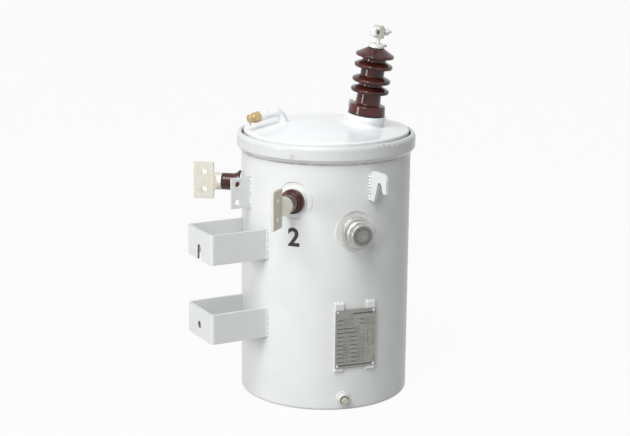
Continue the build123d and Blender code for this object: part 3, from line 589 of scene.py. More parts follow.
def bent_tube(radius, place):
    """Closed pipe that rises from below its seat, bends a quarter round and runs along the seat's x."""
    shape = bmesh.new()
    bmesh.ops.create_circle(shape, cap_ends=False, segments=48, radius=radius)
    bmesh.ops.translate(shape, verts=shape.verts, vec=(0, 0, -PIPE_FOOT))
    ring = drawn_out(shape, shape.edges[:], (0, 0, PIPE_FOOT + PIPE_RISE))
    bend = bmesh.ops.spin(
        shape,
        geom=ring,
        cent=(2 * radius, 0, PIPE_RISE),
        axis=(0, 1, 0),
        dvec=(0, 0, 0),
        angle=math.pi / 2,
        steps=20,
        use_duplicate=False,
    )["geom_last"]
    drawn_out(shape, picked(bend, bmesh.types.BMEdge), (PIPE_RUN, 0, 0))
    bmesh.ops.edgeloop_fill(shape, edges=[line for line in shape.edges if line.is_boundary])
    return settled(shape, place)


def weld(path, width, ripple, seed, drop=6, closed=False):
    """Weld bead along a path, with one swelling for every few points."""
    chance = random.Random(seed)
    curve = bpy.data.curves.new("bead", "CURVE")
    curve.dimensions = "3D"
    curve.bevel_depth = width
    curve.bevel_resolution = 2
    curve.use_fill_caps = True
    line = curve.splines.new("POLY")
    line.points.add(len(path) - 1)
    for index, (point, spot) in enumerate(zip(line.points, path)):
        point.co = (*spot, 1)
        swell = abs(math.sin(index * math.pi / drop)) - 0.5
        point.radius = 1 + ripple * swell + ripple * chance.uniform(-0.3, 0.3)
    line.use_cyclic_u = closed
    return from_curve(curve)


def straight_path(start, end):
    """Points along a straight run, close enough for the drops of a bead."""
    start = Vector(start)
    end = Vector(end)
    count = max(2, round((end - start).length / BEAD_PITCH))
    return [start.lerp(end, step / count) for step in range(count + 1)]


def ring_path(place, radius, depth_of, steps):
    """Points round a fitting's root, each at the depth of the surface that it sits on."""
    path = []
    for step in range(steps):
        angle = 2 * math.pi * step / steps
        across = radius * math.cos(angle)
        along = radius * math.sin(angle)
        path.append(place @ Vector((across, along, depth_of(across, along))))
    return path


def upright_welds(node, reach_of, width, seed):
    """Weld beads up both sides of a CAD node, as far from the tank axis as reach_of says."""
    low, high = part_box(node)
    beads = []
    for side in (low[1], high[1]):
        path = straight_path((-reach_of(side), side, low[2]), (-reach_of(side), side, high[2]))
        beads.append(weld(path, width, 0.9, seed + len(beads), 5))
    return beads


def on_wall(tank):
    """Depth of the tank wall behind a seat on it."""
    return lambda across, along: math.sqrt(tank.radius**2 - across**2) - tank.radius


def on_dome(tank):
    """Depth of the dome below a seat on it."""
    radius = dome_of(tank)[0]
    return lambda across, along: math.sqrt(radius**2 - across**2 - along**2) - radius


# Finishes


def arithmetic(operation, reflected=False):
    """Operator on terms that adds one Math node."""

    def apply(term, *others):
        values = (*others, term) if reflected else (term, *others)
        made = term.maker.node("ShaderNodeMath", {"operation": operation}, dict(enumerate(values)))
        return Term(term.maker, made.outputs[0])

    return apply


class Term:
    """A socket that can stand in a sum."""

    __add__ = arithmetic("ADD")
    __radd__ = arithmetic("ADD", True)
    __sub__ = arithmetic("SUBTRACT")
    __rsub__ = arithmetic("SUBTRACT", True)
    __mul__ = arithmetic("MULTIPLY")
    __rmul__ = arithmetic("MULTIPLY", True)
    __abs__ = arithmetic("ABSOLUTE")
    __pow__ = arithmetic("POWER")
    __mod__ = arithmetic("FLOORED_MODULO")
    larger = arithmetic("MAXIMUM")

    def __init__(self, maker, socket):
        self.maker = maker
        self.socket = socket

    def step(self, start, end):
        """0 below start, 1 above end, smooth between; falls where end is the smaller."""
        values = {"Value": self, "From Min": start, "From Max": end}
        made = self.maker.node("ShaderNodeMapRange", {"interpolation_type": "SMOOTHSTEP"}, values)
        return Term(self.maker, made.outputs[0])

    def band(self, centre, half, blur):
        """1 within half of centre and 0 outside, with soft sides."""
        return abs(self - centre).step(half + blur, half)


class NodeMaker:
    """Adds nodes to the tree of a material or of the world."""

    def __init__(self, owner):
        owner.use_nodes = True
        self.tree = owner.node_tree

    def node(self, kind, settings, values):
        """A node of that kind, its settings first and then its sockets' values or links."""
        made = self.tree.nodes.new(kind)
        for setting, value in settings.items():
            setattr(made, setting, value)
        for socket, value in values.items():
            self.fill(made.inputs[socket], value)
        return made

    def fill(self, socket, value):
        """Links or sets one socket."""
        if isinstance(value, Term):
            value = value.socket
        if isinstance(value, bpy.types.NodeSocket):
            self.tree.links.new(value, socket)
        else:
            socket.default_value = value

    def seen(self):
        """1 on camera, glossy and transmitted rays, which show the backdrop, and 0 on others."""
        rays = self.node("ShaderNodeLightPath", {}, {}).outputs
        kinds = ("Camera", "Glossy", "Transmission")
        camera, glossy, through = [Term(self, rays[f"Is {kind} Ray"]) for kind in kinds]
        return camera.larger(glossy).larger(through)

    def end_in(self, output, share, plain, white):
        """Ends the tree in the plain shader, with white in its place by that share."""
        values = {0: share, 1: plain.outputs[0], 2: white.outputs[0]}
        blend = self.node("ShaderNodeMixShader", {}, values)
        self.fill(self.tree.nodes[output].inputs[0], blend.outputs[0])


class Finish(NodeMaker):
    """A material under construction."""

    def __init__(self, name, constants):
        self.material = bpy.data.materials.new(name)
        super().__init__(self.material)
        self.shader = self.tree.nodes["Principled BSDF"]
        for socket, value in constants.items():
            self.shader.inputs[socket].default_value = value

    def drive(self, socket, value):
        """Links a varying value into the shader."""
        self.fill(self.shader.inputs[socket], value)

    def tone(self):
        """The colour that feeds the shader so far."""
        return self.shader.inputs["Base Color"].links[0].from_socket

    def object_point(self):
        """Object coordinates."""
        return self.node("ShaderNodeTexCoord", {}, {}).outputs["Object"]

    def place(self, stretch=(1, 1, 1)):
        """Object coordinates, stretched."""
        values = {"Vector": self.object_point(), "Scale": stretch}
        return self.node("ShaderNodeMapping", {}, values).outputs[0]

    def axis(self, letter, source=None):
        """One coordinate of the object, or of another vector."""
        parts = self.node("ShaderNodeSeparateXYZ", {}, {0: source or self.place()})
        return Term(self, parts.outputs[letter])

    def vector(self, operation, first, second=None):
        """Vector Math node on one vector or two."""
        values = {0: first} if second is None else {0: first, 1: second}
        return self.node("ShaderNodeVectorMath", {"operation": operation}, values).outputs

    def noise(self, size, detail, stretch=(1, 1, 1)):
        """Cloudy value from 0 to 1 whose clouds are about that size."""
        values = {"Vector": self.place(stretch), "Scale": 1 / size, "Detail": detail, "Roughness": 0.5}
        return Term(self, self.node("ShaderNodeTexNoise", {}, values).outputs["Fac"])

    def specks(self, size, share):
        """1 in scattered round specks of about that size, 0 elsewhere."""
        values = {"Vector": self.place(), "Scale": 1 / size, "Randomness": 1.0}
        cells = Term(self, self.node("ShaderNodeTexVoronoi", {}, values).outputs["Distance"])
        return cells.step(share, share * 0.5)

    def mix(self, factor, low, high):
        """Colour between low and high."""
        values = {"Factor": factor, 6: low, 7: high}
        return self.node("ShaderNodeMix", {"data_type": "RGBA"}, values).outputs[2]

    def look(self, tone, roughness, relief, depth):
        """Colour, roughness, and a relief of that depth in metres."""
        self.drive("Base Color", tone)
        self.drive("Roughness", roughness)
        values = {"Height": relief, "Distance": depth, "Strength": 1.0}
        self.drive("Normal", self.node("ShaderNodeBump", {}, values).outputs[0])


def solid(colour, factor=1.0):
    """Colour with alpha, lightened or darkened."""
    return tuple(min(1.0, part * factor) for part in colour) + (1.0,)


def enamel(name, colour, roughness, peel, coat, factor=1.0):
    """Sprayed enamel: faint clouds, orange peel, drips of dirt and a few rust specks."""
    colour = [part * factor for part in colour]
    paint = Finish(name, {"Metallic": 0.0, "Specular IOR Level": 0.35, "Coat Roughness": 0.08})
    clouds = paint.noise(90 * MM, 4.0)
    drips = paint.noise(14 * MM, 4.0, (1, 1, 0.08)).step(0.60, 0.82)
    dust = paint.noise(3 * MM, 3.0).step(0.55, 0.9)
    tone = paint.mix(clouds.step(0.3, 0.7), solid(colour, 0.975), solid(colour, 1.02))
    tone = paint.mix(drips * 0.10, tone, solid(DRIPS))
    tone = paint.mix(dust * 0.06, tone, solid(DUST))
    rust = paint.specks(42 * MM, 0.022) * paint.noise(60 * MM, 2.0).step(0.46, 0.6)
    tone = paint.mix(rust * 0.75, tone, solid(RUST))
    rough = clouds * 0.08 + dust * 0.12 + rust * 0.3 + (roughness - 0.04)
    peeling = paint.noise(4.5 * MM, 2.0)
    paint.look(tone, rough, peeling * 0.6 + clouds * 2.0 - rust * 0.5, peel)
    paint.drive("Coat Weight", coat - drips * (coat * 0.6))
    return paint


def hem_grime_and_shade(paint, low, high):
    """Grime and painted shade between two heights, darkest at the lower one: the crease where the ring's hem
    tucks in against the wall.
    """
    patches = paint.noise(16 * MM, 4.0).step(0.30, 0.55)
    mask = paint.axis("Z").step(high, low) * patches
    paint.drive("Base Color", paint.mix(mask * 0.75, paint.tone(), solid(HEM_DIRT_AND_SHADE)))


def wear(paint, radius):
    """Chips and smudges where the ring has been knocked, each at an angle, a height and a size."""
    crumbs = paint.noise(1.6 * MM, 3.0).step(0.42, 0.62)
    tone = paint.tone()
    for angle, height, size in RING_KNOCKS:
        spot = outward(math.radians(angle), radius, height * MM).translation
        far = Term(paint, paint.vector("DISTANCE", paint.place(), spot)["Value"])
        near = far.step(size * MM, size * 0.5 * MM)
        tone = paint.mix(near * crumbs * 0.6, tone, solid(SCUFF))
    paint.drive("Base Color", tone)


def weld_paint(name, colour):
    """Enamel over weld beads, with patches of grime."""
    paint = Finish(name, {"Metallic": 0.0, "Specular IOR Level": 0.5})
    lumps = paint.noise(3 * MM, 3.0)
    grime = paint.noise(12 * MM, 4.0).step(0.52, 0.74)
    tone = paint.mix(grime * 0.35, solid(colour, 1.02), solid(BEAD_DIRT))
    paint.look(tone, lumps * 0.2 + 0.3, lumps, 0.5 * MM)


def glaze(name, colour):
    """Glazed porcelain: deep brown with lighter thin glaze and a wet coat."""
    glazed = Finish(name, {"Metallic": 0.0, "Specular IOR Level": 0.25, "Coat Roughness": 0.03})
    flow = glazed.noise(22 * MM, 4.0, (1, 1, 0.5))
    freckles = glazed.noise(1.6 * MM, 2.0).step(0.6, 0.8)
    tone = glazed.mix(flow.step(0.3, 0.75), solid(colour, 0.55), solid(colour, 1.4))
    tone = glazed.mix(freckles * 0.25, tone, solid(THIN_GLAZE))
    relief = flow + glazed.noise(7 * MM, 2.0) * 0.5 + freckles * 0.06
    glazed.look(tone, flow * 0.04 + freckles * 0.04 + 0.07, relief, 0.5 * MM)
    glazed.drive("Coat Weight", 0.3 - freckles * 0.1)


def metal(name, colour, roughness, metallic, grain=1.0, stain=HANDLING, stained=0.35):
    """Cast or plated metal: fine grain, handling marks and stains."""
    made = Finish(name, {"Specular IOR Level": 0.5})
    fine = made.noise(1.2 * MM * grain, 3.0)
    marks = made.noise(16 * MM, 5.0).step(0.42, 0.75)
    tone = made.mix(fine, solid(colour, 0.9), solid(colour, 1.08))
    tone = made.mix(marks * stained, tone, solid(stain))
    made.look(tone, fine * 0.12 + marks * 0.15 + (roughness - 0.1), fine, 0.12 * MM * grain)
    made.drive("Metallic", metallic - marks * 0.25 * metallic)
    return made


def turned_metal(name, colour, dull, place, depth):
    """Aluminium turned in a lathe: fine rings round its axis and a dull face inside its front rim."""
    made = Finish(name, {"Specular IOR Level": 0.5})
    shifted = made.vector("SUBTRACT", made.object_point(), place.translation)[0]
    along = Term(made, made.vector("DOT_PRODUCT", shifted, place.col[2].to_3d())["Value"])
    far = Term(made, made.vector("LENGTH", shifted)["Value"])
    radius = (far * far - along * along).larger(0.0) ** 0.5
    rings = (radius % TOOL_PITCH).band(TOOL_PITCH / 2, 0, TOOL_PITCH / 2)
    marks = made.noise(12 * MM, 4.0).step(0.45, 0.72)
    front = along.step(depth - 2.4 * MM, depth - 1.0 * MM) * radius.step(28 * MM, 24 * MM)
    side = made.mix(marks * 0.15, solid(colour), solid(colour, 0.6))
    tone = made.mix(front, side, made.mix(marks * 0.3, solid(dull), solid(dull, 0.8)))
    made.look(tone, 0.29 + marks * 0.05 + rings * 0.03 + front * 0.2, rings, 0.03 * MM)
    made.drive("Metallic", 0.85 - marks * 0.1 - front * 0.2)


def rubber(name, colour):
    """Moulded rubber with a dusty bloom."""
    made = Finish(name, {"Metallic": 0.0, "Specular IOR Level": 0.3})
    bloom = made.noise(8 * MM, 4.0).step(0.4, 0.8)
    tone = made.mix(bloom * 0.3, solid(colour), solid(BLOOM))
    made.look(tone, bloom * 0.2 + 0.55, made.noise(1.5 * MM, 2.0), 0.1 * MM)


def moulded(name, colour, roughness):
    """Plain moulded plastic with slight yellowing."""
    made = Finish(name, {"Metallic": 0.0})
    age = made.noise(9 * MM, 3.0)
    tone = made.mix(age, solid(colour, 0.85), solid(colour, 1.08))
    made.look(tone, age * 0.15 + roughness, age, 0.1 * MM)


def ruled_plate(name, colour):
    """Etched plate with generic dashes and small boxes, over a map that runs from 0 to 1 both ways."""
    made = metal(name, colour, 0.42, 0.6, 1.0, (0.14, 0.14, 0.13), 0.3)
    where = made.node("ShaderNodeUVMap", {"uv_map": "Plate"}, {}).outputs[0]
    across = made.axis("X", where)
    up = made.axis("Y", where)
    pitch = 1 / 14
    row = up % pitch
    high = up.step(0.715, 0.713)
    low = up.step(0.572, 0.57)

    def block(centre, half, middle, tall, level=up):
        """Solid box."""
        return across.band(centre, half, 0.004) * level.band(middle, tall, 0.004)

    def outline(centre, half, middle, tall, level=up):
        """Thin-lined box."""
        inner = block(centre, half - 0.008, middle, tall - 0.006, level)
        return block(centre, half, middle, tall, level) - inner

    def cell(centre, half):
        """Thin-lined box in every row."""
        return outline(centre, half, pitch / 2, 0.019, row)

    def words(centre, half):
        """Dashes in every row."""
        dashes = (across % 0.034).band(0.017, 0.013, 0.004)
        return dashes * block(centre, half, pitch / 2, 0.006, row)

    top_rows = (cell(0.33, 0.10).larger(cell(0.86, 0.10)).larger(words(0.66, 0.06))) * (1 - high)
    middle_rows = (words(0.34, 0.14).larger(cell(0.54, 0.05))) * high * (1 - low)
    low_rows = (cell(0.27, 0.06).larger(words(0.45, 0.08)).larger(cell(0.64, 0.08))) * low
    rows = words(0.12, 0.07).larger(top_rows).larger(middle_rows).larger(low_rows)
    rows = rows * up.band(0.465, 0.395, 0.002)
    tall = outline(0.87, 0.07, 0.50, 0.13)
    title = (across % 0.05).band(0.025, 0.018, 0.005) * block(0.68, 0.24, 0.925, 0.012)
    foot = (across % 0.03).band(0.015, 0.011, 0.004) * block(0.50, 0.44, 0.045, 0.010)
    dark = rows.larger(tall).larger(title).larger(foot)
    made.drive("Base Color", made.mix(dark * 0.85, made.tone(), solid(ETCHING)))


class TRANSFORMER_OT_finishes(bpy.types.Operator):
    """Make the paints, glazes and metals"""

    bl_idname = "transformer.finishes"
    bl_label = "Finishes"

    def execute(self, context):
        colours = context.scene.finish_colours
        tank = context.scene.tank_sizes
        enamel("Tank enamel", colours.paint, 0.32, 0.05 * MM, 0.03)
        enamel("Lid enamel", colours.lid, 0.20, 0.05 * MM, 0.35)
        enamel("Bracket enamel", colours.paint, 0.36, 0.06 * MM, 0.08, 0.96)
        ring = enamel("Ring enamel", colours.paint, 0.26, 0.05 * MM, 0.12, 0.89)
        # Grime and painted shade where the ring's hem tucks in against the wall
        hem_grime_and_shade(ring, tank.ring_hem + 1.5 * MM, tank.ring_hem + 4.5 * MM)
        wear(ring, tank.ring_radius)
        weld_paint("Weld enamel", colours.paint)
        glaze("Brown glaze", colours.porcelain)
        metal("Tinned bronze", colours.tinned, 0.48, 0.35, 1.4, (0.34, 0.30, 0.22), 0.2)
        metal("Pale casting", colours.cast, 0.45, 0.15, 1.2, (0.55, 0.55, 0.50), 0.35)
        metal("Weathered jaw", colours.jaw, 0.6, 0.2, 1.2, (0.36, 0.37, 0.30), 0.5)
        # Dark bare steel, also used as painted shade inside the bracket holes and under the top of each
        # lug's hole
        metal("Cut edge", (0.15, 0.145, 0.14), 0.6, 0.2)
        metal("Zinc plate", colours.zinc, 0.42, 0.8)
        metal("Bolt head", colours.bolt, 0.42, 0.6)
        metal("Aged brass", colours.brass, 0.32, 0.9, 1.0, (0.30, 0.22, 0.13), 0.4)
        metal("Rivet metal", colours.rivet, 0.35, 0.8)
        metal("Core and oil", (0.2, 0.14, 0.05), 0.5, 0.0)
        reach = TAP_LIFT + (TAP_BODY + TAP_DRUM) * MM
        turned_metal("Turned aluminium", colours.machined, colours.face, tap_seat(context.scene), reach)
        rubber("Gasket rubber", colours.rubber)
        moulded("Cream plastic", colours.cream, 0.4)
        moulded("Marking paint", colours.ink, 0.45)
        ruled_plate("Etched plate", colours.plate)
        return {"FINISHED"}


class TRANSFORMER_OT_tank(bpy.types.Operator):
    """Build the painted tank with its rounded foot, turned-out rim and pressed seats"""

    bl_idname = "transformer.tank"
    bl_label = "Tank"

    def execute(self, context):
        scene = context.scene
        names = ("radius", "wall", "rim_height", "rim_radius", "knuckle")
        outer, wall, rim, ledge, knuckle = millimetres(scene.tank_sizes, *names)
        inner = outer - wall
        lip = rim + wall
        corners = [(0, 0), (outer, 0, knuckle), (outer, rim, 1.5), (ledge, rim, 1), (ledge, lip, 1)]
        corners += [(inner, lip), (inner, wall, knuckle - wall), (0, wall)]
        shell = turned(corners, UPRIGHT, 192, 8)
        dishes = [dish(tap_seat(scene), TAP_SEAT)]
        for place in side_seats(scene).values():
            dishes.append(dish(place, scene.bushing_sizes.side_boss))
        shell = cut_away(shell, joined(dishes))
        piece("painted_tank", [shell], ["Tank enamel"], "tank_bottom", "tank_wall")
        repaint("Core and oil", "core_and_oil")
        repaint("Gasket rubber", "lid_gasket")
        return {"FINISHED"}


class TRANSFORMER_OT_lid(bpy.types.Operator):
    """Build the domed lid with its riser and flange"""

    bl_idname = "transformer.lid"
    bl_label = "Lid"

    def execute(self, context):
        tank = context.scene.tank_sizes
        names = ("riser_radius", "riser_height", "flange_height", "rim_radius", "sheet")
        riser, top, flange, rim, sheet = millimetres(tank, *names)
        skin = []
        for across, height in dome_line(tank, 0, tank.riser_radius - LIP_TURN, 0, 30):
            share = max(0.0, (across - LIP_START) / (tank.riser_radius - LIP_START))
            skin.append((across, height + LIP_LIFT * share * share))
        ledge = flange + sheet
        corners = [(skin[-1][0] / MM, skin[-1][1] / MM), (riser, top + LIP_LIFT / MM, 4)]
        corners += [(riser, ledge, 2), (rim, ledge, 1), (rim, flange, 1)]
        corners += [(riser - sheet, flange, 1), (riser - sheet, top - sheet)]
        under = dome_line(tank, tank.riser_radius - tank.sheet, 0, tank.sheet, 12)
        shell = lathe(skin[:-1] + rounded(corners, 6) + under[1:], UPRIGHT, 192)
        piece("domed_lid", [shell], ["Lid enamel"], "lid")
        return {"FINISHED"}


class TRANSFORMER_OT_clamp_ring(bpy.types.Operator):
    """Build the rolled clamp ring with its curled shoulder and tucked-in skirt"""

    bl_idname = "transformer.clamp_ring"
    bl_label = "Clamp ring"

    def execute(self, context):
        tank = context.scene.tank_sizes
        names = ("ring_radius", "ring_sheet", "ring_foot", "ring_hem", "ring_shoulder", "radius")
        ring, sheet, foot, hem, shoulder, outer = millimetres(tank, *names)
        wall = outer + HEM_GAP
        corners = [(ring - sheet, shoulder), (ring - sheet, foot, 2), (wall, hem + 1.5, 0.6)]
        corners += [(wall + 1.5, hem, 0.6), (ring, foot, 5), (ring, shoulder)]
        outline = rounded(corners, 5)[1:-1] + shoulder_line(tank, 0)
        outline += shoulder_line(tank, tank.ring_sheet)[::-1]
        piece("rolled_clamp_ring", [lathe(outline, UPRIGHT, 192, True)], ["Ring enamel"], "clamp_band")
        return {"FINISHED"}


class TRANSFORMER_OT_tall_bushing(bpy.types.Operator):
    """Build the collar, the porcelain with its four sheds, the cap and the eye clamp"""

    bl_idname = "transformer.tall_bushing"
    bl_label = "Tall bushing"

    def execute(self, context):
        tank = context.scene.tank_sizes
        sizes = context.scene.bushing_sizes
        base = on_lid(tank, sizes.tall_angle, sizes.tall_reach)
        foot = raised(base, sizes.collar_top + FOOT_GASKET * MM)
        top = raised(foot, sizes.porcelain_height + CAP_GASKET * MM)
        self.build_collar(tank, sizes, base)
        self.build_porcelain(sizes, foot)
        self.build_cap(facing(top, (1, 0, 0)))
        return {"FINISHED"}

    def build_collar(self, tank, sizes, base):
        """Welded collar on the dome and the gasket on top of it."""
        neck, flange, top = millimetres(sizes, "collar_radius", "collar_flange", "collar_top")
        corners = [(0, -6), (neck, -6), (neck, 5, 5), (flange, 13, 3), (flange, top, 2), (0, top)]
        root = ring_path(base, sizes.collar_radius + BEAD_SET, on_dome(tank), 200)
        bead = weld(root, 2.2 * MM, 0.12, 3, closed=True)
        piece("bushing_collar", [turned(corners, base, 128, 5), bead], ["Lid enamel"], "hv_collar")
        gasket = disc(43, 0, FOOT_GASKET, 0.8, raised(base, sizes.collar_top), 96, foot=0.8)
        piece("foot_gasket", [gasket], ["Gasket rubber"], "hv_gasket")

    def build_porcelain(self, sizes, foot):
        """Porcelain with three like sheds, a thinner one on top and a cone above it."""
        core, shed, height = millimetres(sizes, "core_radius", "shed_radius", "porcelain_height")
        corners = [(0, 0), (shed - 1.5, 0, 1.5), (shed - 4, 21, 4), (core + 1.5, 25, 3)]
        for tip in SHED_TIPS[:-1]:
            corners += [(core, tip - 6.6, 1.5), (shed - 1, tip - 4, 3), (shed + 0.2, tip + 3.4, 3.5)]
            corners += [(shed - 9.3, tip + 8.4, 12), (core, tip + 11.6, 3)]
        tip = SHED_TIPS[-1]
        corners += [(core, tip - 4.8, 1.5), (shed - 1, tip - 1.8, 2.2), (shed + 0.2, tip + 3.4, 2.6)]
        corners += [(shed - 3.4, tip + 6.4, 6), (core - 0.8, height - 5, 3)]
        corners += [(20, height, 1.2), (0, height)]
        porcelain = turned(corners, foot, 128, 5)
        piece("shedded_porcelain", [porcelain], ["Brown glaze"], "hv_porcelain")
        repaint("Gasket rubber", "hv_cap_gasket")

    def build_cap(self, top):
        """Cap with its stem and screw, and the eye clamp with its bolt and its jaw, whose side away from the
        light is painted darker: weathering and painted shade.
        """
        cap = disc(20, 0, CAP_HEIGHT, 1.6, top, 96, 4, 1)
        corners = [(0, -1), (6, -1), (6, 1.2, 1), (4, 1.2, 1), (4, 14), (0, 14)]
        stem = turned(corners, raised(top, CAP_HEIGHT * MM, STEM_OFFSET), 32, 3)
        piece("bushing_cap", [cap, stem], ["Pale casting"], "hv_cap")
        dressed("cap_screw", "hv_cap_screw", 0.5 * MM, "Zinc plate")
        clamp = merged_copy("hv_eye_clamp", 1.6 * MM, 3)
        eye = raised(top, (CAP_HEIGHT + STEM_HEIGHT) * MM, STEM_OFFSET).translation
        # Faces on the clamp's side away from the key light take the darker jaw finish: weathering and
        # painted shade
        for face in clamp.faces:
            face.material_index = int(face.calc_center_median().x > eye.x - JAW_WIDTH / 2)
        piece("eye_clamp", [clamp], ["Pale casting", "Weathered jaw"], "hv_eye_clamp")
        dressed("clamp_bolt", "hv_clamp_bolt", 0.8 * MM, "Pale casting")


class TRANSFORMER_OT_post(bpy.types.Operator):
    """Build the post beside the tall bushing, its collar and its slanted screw"""

    bl_idname = "transformer.post"
    bl_label = "Post"

    def execute(self, context):
        tank = context.scene.tank_sizes
        fittings = context.scene.fitting_sizes
        base = on_lid(tank, fittings.post_angle, fittings.post_reach)
        post = disc(POST_RADIUS, -3, 46, 1.5, base, 48, 4)
        root = ring_path(base, POST_RADIUS * MM + BEAD_SET, on_dome(tank), 48)
        bead = weld(root, 1.5 * MM, 0.2, 5, closed=True)
        piece("lid_post_bar", [post, bead], ["Lid enamel"], "lid_post")
        corners = [(POST_RADIUS, 32), (6.2, 32, 0.8), (6.2, 41, 1), (POST_RADIUS, 41)]
        ring = turned(corners, base, 48, 3, True)
        piece("post_ring", [ring], ["Cream plastic"], "lid_post_collar")
        dressed("slanted_screw", "lid_post_screw", 0.5 * MM, "Zinc plate")
        return {"FINISHED"}


class TRANSFORMER_OT_relief_pipe(bpy.types.Operator):
    """Build the bent relief pipe, its sleeve and its brass valve"""

    bl_idname = "transformer.relief_pipe"
    bl_label = "Relief pipe"

    def execute(self, context):
        tank = context.scene.tank_sizes
        fittings = context.scene.fitting_sizes
        radius = fittings.pipe_radius
        base = facing(on_lid(tank, fittings.pipe_angle, fittings.pipe_reach), (-1, 0, 0))
        pipe = bent_tube(radius, base)
        root = ring_path(base, radius + BEAD_SET, on_dome(tank), 72)
        bead = weld(root, 2.0 * MM, 0.25, 9, closed=True)
        piece("bent_pipe", [pipe, bead], ["Lid enamel"], "vent_pipe")

        upwards = base.col[2].to_3d()
        end = raised(base, PIPE_RISE + 2 * radius, 2 * radius + PIPE_RUN)
        way = seat(end.translation, upwards, base.col[0].to_3d())
        piece("pipe_sleeve", [disc(11.8, 0, SLEEVE, 1, way, 64, foot=1)], ["Lid enamel"], "vent_sleeve")
        valve = raised(way, SLEEVE * MM)
        corners = [(0, 17), (10.2, 17), (10.2, 20, 1), (9.2, 21, 0.5), (10.2, 22, 0.5)]
        corners += [(10.2, 31, 1.5), (0, 31)]
        shaft = turned(corners, valve, 64, 3)
        nut = plank(hexagon(VALVE_FLATS / 2 / math.cos(math.pi / 6)), valve, 0, 18 * MM, 1.2 * MM, 3)
        down = seat(raised(valve, VALVE_PIN).translation, valve.col[2].to_3d(), -valve.col[0].to_3d())
        pin = disc(1.6, 8, 16, 0.7, down, 24)
        piece("relief_valve", [nut, shaft, pin], ["Aged brass"], "vent_valve")
        return {"FINISHED"}


class TRANSFORMER_OT_side_bushings(bpy.types.Operator):
    """Build the two side bushings: boss, porcelain and tinned terminal"""

    bl_idname = "transformer.side_bushings"
    bl_label = "Side bushings"

    def execute(self, context):
        wide, barrel = millimetres(context.scene.bushing_sizes, "side_boss", "barrel_radius")
        for side, base in side_seats(context.scene).items():
            corners = [(0, -11), (wide, -11), (wide, -3, 2), (33, -3, 1.5), (31, 4.5, 1), (0, 4.5)]
            boss = turned(corners, base, 128, 6)
            piece(f"{side}_side_boss", [boss], ["Tank enamel"], f"lv_{side}_boss")
            repaint("Gasket rubber", f"lv_{side}_gasket", f"lv_{side}_seal")
            corners = [(0, 0), (30, 0, 1.2), (30, 8, 2.5), (24, 8, 1.5), (24, 16, 2)]
            corners += [(barrel, 16, 1.2), (barrel, 46, 1.6), (0, 46)]
            porcelain = turned(corners, raised(base, SIDE_SEAT), 96, 5)
            piece(f"{side}_side_porcelain", [porcelain], ["Brown glaze"], f"lv_{side}_porcelain")
            dressed(f"{side}_terminal_pad", f"lv_{side}_terminal", 0.7 * MM, "Tinned bronze")
        return {"FINISHED"}


class TRANSFORMER_OT_brackets(bpy.types.Operator):
    """Build the two pole brackets, the ground plate and their welds"""

    bl_idname = "transformer.brackets"
    bl_label = "Brackets"

    def execute(self, context):
        radius = context.scene.tank_sizes.radius
        width = context.scene.fitting_sizes.bead
        beads = []
        for place in ("upper", "lower"):
            node = f"{place}_bracket"
            strap = merged_copy(node, 0.9 * MM)
            # Faces inside the bracket's hole are painted dark: bare cut steel and painted shade
            for face in strap.faces:
                spot = face.calc_center_median()
                inside = spot.x < HOLE_PLANE and abs(spot.y) < HOLE_REACH
                face.material_index = int(inside and abs(face.normal.x) < 0.5)
            piece(f"{place}_pole_strap", [strap], ["Bracket enamel", "Cut edge"], node)
            seed = len(beads) + 20
            beads += upright_welds(node, lambda side: math.sqrt(radius**2 - side**2), width, seed)
        piece("bracket_welds", beads, ["Weld enamel"])
        dressed("ground_pad_plate", "ground_plate", 0.8 * MM, "Bracket enamel")
        beads = upright_welds("ground_plate", lambda side: radius, width, 40)
        piece("ground_plate_welds", beads, ["Weld enamel"])
        return {"FINISHED"}


class TRANSFORMER_OT_lugs(bpy.types.Operator):
    """Build the two lifting lugs and their welds"""

    bl_idname = "transformer.lugs"
    bl_label = "Lifting lugs"

    def execute(self, context):
        tank = context.scene.tank_sizes
        fittings = context.scene.fitting_sizes
        for end, swing in (("front", 0), ("rear", math.pi)):
            node = f"lifting_lug_{end}"
            foot, top = [corner[2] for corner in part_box(node)]
            hook = merged_copy(node, 0.8 * MM, 3)
            # Faces that face down above the throat, under the top of the lug's hole, are painted dark as
            # shade
            for face in hook.faces:
                above = face.calc_center_median().z > foot + LUG_THROAT
                face.material_index = int(above and face.normal.z < -0.5)
            piece(f"{end}_hook", [hook], ["Bracket enamel", "Cut edge"], node)
            base = outward(fittings.lug_angle + swing, tank.radius, foot)
            beads = []
            for side in (-LUG_THICK / 2, LUG_THICK / 2):
                depth = on_wall(tank)(side, 0)
                ends = [base @ Vector((side, height, depth)) for height in (0, top - foot - LUG_SHOULDER)]
                beads.append(weld(straight_path(*ends), fittings.bead * 1.2, 1.0, len(beads) + 60, 7))
            piece(f"{end}_hook_welds", beads, ["Weld enamel"])
        return {"FINISHED"}


